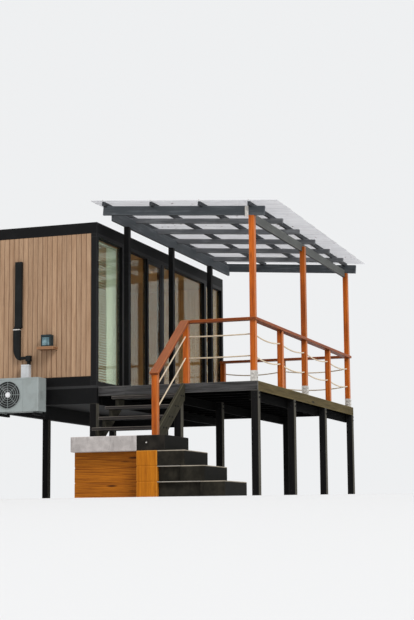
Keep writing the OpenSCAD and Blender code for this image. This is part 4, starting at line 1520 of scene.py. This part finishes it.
@dataclass
class Floor:
    """The cabin's floor: planks inside the walls on a dark membrane that shows underneath."""

    plank: float = 180 * MM
    thick: float = 12 * MM
    joint: float = 1 * MM
    ease: float = 1 * MM

    def build(self) -> None:
        """Replace the floor panel by its layers."""
        box = Box.of("cabin_floor")
        inside_x = (Box.of("back_wall").high.x, Box.of("near_wall").high.x)
        inside_y = (Box.of("near_wall").high.y, Box.of("far_wall").low.y)
        top, under = box.high.z, box.high.z - self.thick
        base = Shape()
        base.block(box.low, (box.high.x, box.high.y, under))
        for low, high in (
            ((box.low.x, box.low.y), (inside_x[0], box.high.y)),
            ((inside_x[1], box.low.y), (box.high.x, box.high.y)),
            ((inside_x[0], box.low.y), (inside_x[1], inside_y[0])),
            ((inside_x[0], inside_y[1]), (inside_x[1], box.high.y)),
        ):
            base.block((*low, under), (*high, top))
        base.piece("floor_base", Coat.MEMBRANE, replaces=["cabin_floor"])
        planks = Shape(seed=5)
        for start, end in strips(*inside_x, self.plank, self.joint):
            planks.block((start, inside_y[0], under), (end, inside_y[1], top))
        planks.ease(self.ease).piece("floor_planks", Wood.PLY, "floor_ply")


@dataclass
class CabinRoof:
    """Seamed metal roofing above, ply ceiling sheets below."""

    ceiling: float = 12 * MM
    skin: float = 18 * MM
    seam: float = 9 * MM
    seam_step: float = 0.42
    seam_ease: float = 1.5 * MM
    sheet: float = 1.2
    sheet_ease: float = 1 * MM
    joint: float = 3 * MM

    def build(self) -> None:
        """Replace the roof panel by its layers."""
        box = Box.of("cabin_roof")
        low, high = box.low, box.high
        top, under = high.z - self.skin, low.z + self.ceiling
        metal = Shape()
        metal.block((low.x, low.y, under), (high.x, high.y, top))
        count = round(box.span(1) / self.seam_step)
        for i in range(1, count):
            y = low.y + i * box.span(1) / count
            metal.block((low.x, y - self.seam / 2, top), (high.x, y + self.seam / 2, high.z))
        metal.ease(self.seam_ease).piece("roof_seams", Coat.ROOF, "roof_skin", ["cabin_roof"])
        sheets = Shape(seed=8)
        for start, end in strips(low.y, high.y, self.sheet, self.joint):
            sheets.block((low.x, start, low.z), (high.x, end, under))
        sheets.ease(self.sheet_ease).piece("ceiling_sheets", Wood.PLY, "floor_ply")


@dataclass
class Glazing:
    """Panes with their gaskets, the sliding leaf, and the blind behind the first window."""

    leaf_ease: float = 1.5 * MM
    bead: float = 10 * MM
    bead_ease: float = 1.5 * MM
    proud: float = 8 * MM
    slat: float = 50 * MM
    slat_t: float = 1.4 * MM
    slat_step: float = 43 * MM
    slat_tilt: float = 32.0
    slat_share: float = 0.66
    vane: float = 89 * MM
    vane_turn: float = 24.0
    vane_step: float = 71.2 * MM
    reveal: float = 34 * MM
    rail: float = 40 * MM

    def build(self) -> None:
        """Dress the glass and add what holds and shades it."""
        dress("window_glass", Coat.GLASS)
        dress("door_glass", Coat.GLASS)
        Shape.eased("door_leaf", self.leaf_ease).piece(
            "door_leaf_eased", Coat.BLACK_FRAME, "black_frame", ["door_leaf"], Body.DOOR
        )
        self._beads("window_glass", "window_gaskets", Body.HOUSE)
        self._beads("door_glass", "door_gaskets", Body.DOOR)
        self._blind(boxes("window_glass")[0])

    def _beads(self, node: str, name: str, body: Body) -> None:
        """Frame each pane with a rubber bead, outside and inside.

        Args:
            node: The panes' CAD node.
            name: The name of the piece.
            body: The body that it rides on.
        """
        shape = Shape()
        for pane in boxes(node):
            low, high, wide = pane.low, pane.high, self.bead
            for x0, x1 in ((high.x, high.x + self.proud), (low.x - self.proud, low.x)):
                shape.block((x0, low.y, low.z), (x1, low.y + wide, high.z))
                shape.block((x0, high.y - wide, low.z), (x1, high.y, high.z))
                shape.block((x0, low.y + wide, low.z), (x1, high.y - wide, low.z + wide))
                shape.block((x0, low.y + wide, high.z - wide), (x1, high.y - wide, high.z))
        shape.ease(self.bead_ease).piece(name, Coat.GASKET, body=body)

    def _blind(self, pane: Box) -> None:
        """Hang tilted slats over most of a window, and upright vanes over the rest of it.

        Args:
            pane: The window's pane.
        """
        x = Box.of("window_posts").low.x - self.reveal
        near, far = x - self.slat / 2, x + self.slat / 2
        split = pane.at(1, self.slat_share)
        top, foot = pane.high.z - self.rail, pane.low.z
        length = split - pane.low.y - self.bead
        slats = Shape(seed=3)
        turn = Matrix.Rotation(math.radians(self.slat_tilt), 4, "Y")
        for i in range(int((top - foot) / self.slat_step)):
            at = (x, (split + pane.low.y) / 2, top - (i + 0.5) * self.slat_step)
            where = Matrix.Translation(at) @ turn
            slats.turned_block((self.slat, length, self.slat_t), where)
        for z in (top, foot):
            slats.block((near, pane.low.y, z), (far, split, z + self.rail / 2))
        slats.piece("blind_slats", Coat.BLIND)
        vanes = Shape(seed=4)
        turn = Matrix.Rotation(math.radians(90 - self.vane_turn), 4, "Z")
        count = math.ceil((pane.high.y - split) / self.vane_step)
        for i in range(count):
            y = split + (i + 0.5) * (pane.high.y - split) / count
            where = Matrix.Translation((x, y, (top + foot) / 2)) @ turn
            vanes.turned_block((self.vane, self.slat_t, top - foot - self.bead), where)
        vanes.block((near, split, top), (far, pane.high.y, top + self.rail / 2))
        vanes.piece("blind_vanes", Coat.BLIND)


@dataclass
class Ropes:
    """Three-strand rope along each span of the rails, hung as the CAD's ropes hang."""

    strands: int = 3
    strand: float = 5.57 * MM
    helix: float = 6.43 * MM
    lay: float = 75 * MM
    points: int = 9
    least_points: int = 8
    cad_sides: int = 8

    def build(self) -> None:
        """Replace the plain ropes by laid ones."""
        curve = bpy.data.curves.new("rope_lines", "CURVE")
        curve.dimensions = "3D"
        curve.bevel_depth = self.strand
        curve.bevel_resolution = 1
        curve.use_fill_caps = True
        for start, middle, end in self._spans():
            for k in range(self.strands):
                self._strand(curve, start, middle, end, k * math.tau / self.strands)
        holder = bpy.data.objects.new("rope_lines", curve)
        bpy.context.scene.collection.objects.link(holder)
        graph = bpy.context.evaluated_depsgraph_get()
        mesh = bpy.data.meshes.new_from_object(holder.evaluated_get(graph))
        bpy.data.objects.remove(holder)
        bpy.data.curves.remove(curve)
        shape = Shape(seed=9)
        shape.bm.from_mesh(mesh)
        bpy.data.meshes.remove(mesh)
        bmesh.ops.recalc_face_normals(shape.bm, faces=shape.bm.faces)
        shape.piece("rope_strands", Coat.ROPE, "rope", ["rail_ropes"], smooth=True)

    def _spans(self) -> list[tuple[Vector, Vector, Vector]]:
        """Find the centre lines of the CAD's ropes.

        Returns:
            Start, middle and end of each.
        """
        shape, sides = Shape.of("rail_ropes"), self.cad_sides
        spans = []
        for group in shape.solids():
            points = [v.co.copy() for v in group]
            reach = [max(p[i] for p in points) - min(p[i] for p in points) for i in range(2)]
            axis = reach.index(max(reach))
            points.sort(key=lambda p: p[axis])
            ring = [
                sum(points[i:i + sides], Vector()) / sides for i in range(0, len(points), sides)
            ]
            spans.append((ring[0], ring[len(ring) // 2], ring[-1]))
        shape.bm.free()
        return spans

    def _strand(self, curve: bpy.types.Curve, start: Vector, middle: Vector, end: Vector,
                phase: float) -> None:
        """Add one strand's line, wound about the sagging span.

        Args:
            curve: What it is added to.
            start: Start of the rope's centre line.
            middle: Middle of that line, where it hangs lowest.
            end: End of that line.
            phase: The turn that the strand starts at, in radians.
        """
        sag = (start + end) / 2 - middle
        way = (end - start).normalized()
        side = way.cross(Vector((0, 0, 1))).normalized()
        up = side.cross(way)
        turns = (end - start).length / self.lay
        count = max(self.least_points, round(turns * self.points))
        spline = curve.splines.new("POLY")
        spline.points.add(count)
        for i in range(count + 1):
            t = i / count
            turn = phase + math.tau * t * turns
            at = start + (end - start) * t - sag * (4 * t * (1 - t))
            at += (side * math.cos(turn) + up * math.sin(turn)) * self.helix
            spline.points[i].co = (*at, 1.0)


@dataclass
class Fall:
    """The pergola roof's slope, found from its purlins and its outer beam."""

    origin: Vector
    down: Vector
    up: Vector

    @classmethod
    def find(cls) -> "Fall":
        """Work it out from the boxes of the beam and of the first and last purlins.

        Returns:
            The slope.
        """
        outer, rows = Box.of("outer_beam"), boxes("purlins")
        first, last = rows[0].middle, rows[-1].middle
        angle = math.atan2(first.z - last.z, last.x - first.x)
        return cls(
            Vector((outer.low.x, 0.0, outer.high.z)),
            Vector((math.cos(angle), 0.0, -math.sin(angle))),
            Vector((math.sin(angle), 0.0, math.cos(angle))),
        )

    def at(self, x: float, y: float, height: float) -> Vector:
        """The point at a level place x and y, at a height above the slope."""
        run = (x - self.origin.x - height * self.up.x) / self.down.x
        return self.origin + self.down * run + self.up * height + Vector((0.0, y, 0.0))


@dataclass
class Sheeting:
    """The roof sheets, kept as they are, with screws on their crests over each purlin."""

    waves: int = 10
    crest_share: float = 0.3
    lap_lift: float = 2 * MM
    screw: float = 13 * MM
    every: int = 3

    def build(self) -> None:
        """Dress the sheets and screw them down."""
        dress("roof_sheets", Coat.SHEET)
        fall, sheets = Fall.find(), boxes("roof_sheets")
        mesh = frame["nodes"]["roof_sheets"].data
        tops = sorted({round(fall.up.dot(v.co - fall.origin), 5) for v in mesh.vertices})
        crest = tops[-1] - self.lap_lift
        pitch = (sheets[1].low.y - sheets[0].low.y) / self.waves
        shape = Shape(seed=6)
        for place, sheet in enumerate(sheets):
            for k in range(0, self.waves, self.every):
                lift = self.lap_lift if k == 0 and place else 0.0
                y = sheet.low.y + (k + self.crest_share / 2) * pitch
                for purlin in boxes("purlins"):
                    shape.bolt(fall.at(purlin.middle.x, y, crest + lift), fall.up, self.screw)
        shape.piece("sheet_screws", Coat.ZINC, "pale_steel")


@dataclass
class Ironmongery:
    """Bolts, screws and a pale strap that hold the timber together."""

    bolt: float = 22 * MM
    strap_bolt: float = 15.4 * MM
    small_bolt: float = 17.6 * MM
    screw: float = 12 * MM
    rail_screw: float = 9.6 * MM
    plate: float = 3 * MM
    strap_w: float = 57 * MM
    strap_h: float = 168 * MM
    strap_drop: float = 72 * MM
    strap_back: float = 40 * MM
    shoe_bolts: Span = (0.38, 0.78)
    strap_bolts: Span = (0.62, 0.88)
    stilt_bolts: Span = (0.25, 0.72)
    tread_bolts: Span = (0.3, 0.7)
    rail_screws: Span = (0.28, 0.72)
    joist_foot_in: float = 30 * MM
    joist_top_in: float = 20 * MM
    fascia_in: float = 30 * MM
    fascia_end: float = 40 * MM
    fascia_step: float = 450 * MM

    def build(self) -> None:
        """Make the pale steel and the dark steel."""
        pale, dark = Shape(seed=21), Shape(seed=22)
        self._shoes(pale)
        self._strap(pale)
        self._stilts(dark)
        self._stairs(dark)
        self._fascias(dark)
        self._rails(dark)
        pale.piece("pale_ironmongery", Coat.ZINC, "pale_steel")
        dark.piece("dark_ironmongery", Coat.BLACK_STEEL, "black_steel")

    def _shoes(self, shape: Shape) -> None:
        """Put two bolts through each plate of the post shoes.

        Args:
            shape: What they are added to.
        """
        for shoe in boxes("post_shoes"):
            for share in self.shoe_bolts:
                z = shoe.at(2, share)
                shape.bolt((shoe.middle.x, shoe.low.y, z), (0, -1, 0), self.bolt)
                shape.bolt((shoe.high.x, shoe.middle.y, z), (1, 0, 0), self.bolt)

    def _strap(self, shape: Shape) -> None:
        """Put a pale strap on the front rafter beside the first post, returned along the post.

        Args:
            shape: What it is added to.
        """
        post, y0 = boxes("pergola_posts")[0], Box.of("front_rafter").low.y
        x1, foot = post.low.x, Box.of("outer_beam").high.z - self.strap_drop
        x0, turn, head = x1 - self.strap_w, x1 - self.plate, foot + self.strap_h
        shape.block((x0, y0 - self.plate, foot), (turn, y0, head))
        shape.block((turn, y0 - self.plate, foot), (x1, y0 + self.strap_back, head))
        for share in self.strap_bolts:
            at = ((x0 + x1) / 2, y0 - self.plate, foot + self.strap_h * share)
            shape.bolt(at, (0, -1, 0), self.strap_bolt)

    def _stilts(self, shape: Shape) -> None:
        """Put two bolts through each side of each deck stilt into its bearer.

        Args:
            shape: What they are added to.
        """
        for stilt in boxes("deck_stilts"):
            for share in self.stilt_bolts:
                z = Box.of("deck_bearers").at(2, share)
                shape.bolt((stilt.high.x, stilt.middle.y, z), (1, 0, 0), self.bolt)
                shape.bolt((stilt.middle.x, stilt.low.y, z), (0, -1, 0), self.small_bolt)

    def _stairs(self, shape: Shape) -> None:
        """Bolt each tread through the right stringer, and screw it down into the left one.

        Args:
            shape: What the bolts and screws are added to.
        """
        left, right = sorted(boxes("stair_stringers"), key=lambda b: b.low.x)
        for tread in boxes("stair_treads"):
            for share in self.tread_bolts:
                y = tread.at(1, share)
                shape.bolt((right.high.x, y, tread.middle.z), (1, 0, 0), self.small_bolt)
                shape.screw((left.middle.x, y, tread.high.z), (0, 0, 1), self.screw)

    def _fascias(self, shape: Shape) -> None:
        """Put screws through the fascia boards into the joists.

        Args:
            shape: What they are added to.
        """
        side, front, back = (Box.of(f"{n}_fascia") for n in ("side", "front", "back"))
        for joist in boxes("deck_joists"):
            for z in (joist.low.z + self.joist_foot_in, joist.high.z - self.joist_top_in):
                shape.screw((side.high.x, joist.middle.y, z), (1, 0, 0), self.screw)
        count = round(front.span(0) / self.fascia_step)
        for i in range(count + 1):
            x = front.low.x + self.fascia_end + i * (front.span(0) - 2 * self.fascia_end) / count
            for z in (front.low.z + self.fascia_in, front.high.z - self.fascia_in):
                shape.screw((x, front.low.y, z), (0, -1, 0), self.screw)
                shape.screw((x, back.high.y, z), (0, 1, 0), self.screw)

    def _rails(self, shape: Shape) -> None:
        """Put two screws through the handrails into each post that ends under them.

        Args:
            shape: What they are added to.
        """
        top = Box.of("side_handrail").high.z
        for post in (*boxes("rail_posts"), boxes("stair_newels")[-1]):
            for share in self.rail_screws:
                shape.screw((post.middle.x, post.at(1, share), top), (0, 0, 1), self.rail_screw)


@dataclass
class Steps:
    """What the landing's blocks carry: mortar in their joints and a pale plug in the dark block."""

    courses: int = 3
    eased: float = 7 * MM
    bed: float = 7 * MM
    tooled: float = 4 * MM
    deep: float = 70 * MM
    plug: float = 24 * MM
    plug_top: float = 9.6 * MM
    plug_x: float = 0.35
    plug_z: float = 0.52
    proud: float = 3 * MM

    def build(self) -> None:
        """Add the joints and the plug, and set the dark block back by what the plug is proud."""
        block, steps = Box.of("dark_block"), Box.of("step_blocks")
        dark = Shape.eased("dark_block", self.eased)
        front = [v for v in dark.bm.verts if v.co.y < block.middle.y]
        bmesh.ops.translate(dark.bm, vec=(0, self.proud, 0), verts=front)
        dark.piece("dark_block_eased", Coat.DARK_CAST, "dark_concrete", ["dark_block"])
        going = (steps.high.x - block.high.x) / self.courses
        beds = Shape(seed=7)
        for course in range(1, self.courses):
            z = course * steps.high.z / self.courses
            reach = block.high.x + (self.courses - course) * going
            beds.block(
                (steps.low.x, steps.low.y + self.tooled, z - self.bed),
                (reach - self.tooled, steps.low.y + self.deep, z),
            )
        beds.piece("block_mortar", Coat.MORTAR)
        plug = Shape()
        x, y, z = block.at(0, self.plug_x), block.low.y, block.at(2, self.plug_z)
        plug.rod((x, y + self.proud, z), (x, y, z), self.plug / 2, sides=16, tip=self.plug_top)
        plug.piece("block_plug", Coat.ZINC, "pale_steel")


@dataclass
class ColdUnit:
    """The outdoor unit and the boxes on the wall beside it."""

    service: float = 270 * MM
    fan: float = 215 * MM
    guard: float = 12 * MM
    foot: float = 20 * MM
    shelf_t: float = 45 * MM
    box_in: float = 43 * MM
    box_wide: float = 175 * MM
    box_back: float = 110 * MM
    lid: float = 32 * MM
    groove: float = 3 * MM
    louvres: int = 9
    louvre_out: float = 3 * MM
    louvre_wide: float = 110 * MM
    louvre_tall: float = 7 * MM
    louvre_step: float = 17 * MM
    louvre_drop: float = 80 * MM
    pipe: float = 118 * MM
    clip_up: float = 574 * MM
    clip_h: float = 16 * MM
    proud: float = 2 * MM
    frame: float = 26 * MM
    eased: float = 2 * MM
    pane_eased: float = 1 * MM

    def build(self) -> None:
        """Dress the unit, louvre its end and part the boxes by finish."""
        unit = Box.of("outdoor_unit")
        self._fan(unit)
        self._louvres(unit)
        shelf, cover = boxes("wall_boxes")
        self._lidded(cover.low, cover.high).piece(
            "pipe_cover", Coat.GREY_PLASTIC, "pale_steel", ["wall_boxes"]
        )
        self._meter(shelf)
        self._clip(Box.of("wall_duct"))

    def _fan(self, unit: Box) -> None:
        """Dress the unit, with its shell dark behind the fan's guard.

        Args:
            unit: The unit's box.
        """
        middle = unit.low.x + (unit.span(0) - self.service) / 2
        height = (unit.low.z + self.foot + unit.high.z) / 2
        centre = (middle, unit.low.y + self.guard, height)
        dress("outdoor_unit", UnitShell(*astuple(Coat.SHELL), fan=centre, reach=self.fan))

    def _louvres(self, unit: Box) -> None:
        """Put louvres on the unit's right end.

        Args:
            unit: The unit's box.
        """
        louvres, half = Shape(seed=2), self.louvre_wide / 2
        for i in range(self.louvres):
            z = unit.middle.z - self.louvre_drop + i * self.louvre_step
            louvres.block(
                (unit.high.x - self.louvre_out, unit.middle.y - half, z),
                (unit.high.x + self.louvre_out, unit.middle.y + half, z + self.louvre_tall),
            )
        louvres.ease(self.eased).piece("unit_louvres", Coat.SHELL, "unit_shell")

    def _clip(self, duct: Box) -> None:
        """Put a pale band round the duct, below its coupling.

        Args:
            duct: The duct's box.
        """
        shape, z = Shape(), duct.low.z + self.clip_up
        shape.block(
            (duct.low.x - self.proud, duct.low.y, z),
            (duct.low.x + self.pipe + self.proud, duct.high.y, z + self.clip_h),
        )
        shape.piece("duct_clip", Coat.ZINC, "pale_steel")

    def _lidded(self, low: Vector, high: Vector) -> Shape:
        """Make a case with a groove under its lid.

        Args:
            low: Its lowest corner.
            high: Its highest corner.

        Returns:
            The case.
        """
        case, split = Shape(), high.z - self.lid
        inset = Vector((self.groove, self.groove, 0))
        case.block(low, (high.x, high.y, split - self.groove / 2))
        case.block((low.x, low.y, split + self.groove / 2), high)
        case.block(low + inset, high - inset)
        return case.ease(self.eased)

    def _meter(self, shelf: Box) -> None:
        """Set the meter's case with its pane on a timber shelf.

        Args:
            shelf: The box of the shelf and the case together.
        """
        top = shelf.low.z + self.shelf_t
        board = Shape(seed=13)
        board.block(shelf.low, (shelf.high.x, shelf.high.y, top))
        board.ease(self.eased).piece("box_shelf", Wood.SHELF, "floor_ply")
        low = Vector((shelf.low.x + self.box_in, shelf.high.y - self.box_back, top))
        high = Vector((low.x + self.box_wide, shelf.high.y, shelf.high.z))
        self._lidded(low, high).piece("dark_box", Coat.METER, "black_plastic")
        window, head = Shape(), high.z - self.lid - self.frame / 2
        window.block(
            (low.x + self.frame, low.y - self.proud, low.z + self.frame),
            (high.x - self.frame, low.y + self.proud, head),
        )
        window.ease(self.pane_eased).piece("box_window", Coat.METER_GLASS)


def dress(node: str, finish: Finish) -> None:
    """Give a CAD node that keeps its own mesh a finish.

    Args:
        node: The node's name.
        finish: Its finish.
    """
    mesh = frame["nodes"][node].data
    mesh.materials.clear()
    mesh.materials.append(finish.material())


def main() -> None:
    """Build the studio and then the house, part by part."""
    logging.basicConfig(level=logging.INFO, format="%(name)s %(message)s")
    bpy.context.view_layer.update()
    Studio().build()
    parts = (
        Carcass(), Decking(), Wall("near_wall", 0, -1), Wall("far_wall", 0, 1),
        Wall("back_wall", 1, -1), Floor(), CabinRoof(), Glazing(), Ropes(), Sheeting(),
        Ironmongery(), Steps(), ColdUnit(),
    )
    for part in parts:
        LOG.info("building %s", type(part).__name__)
        part.build()


if __name__ == "__main__":
    main()
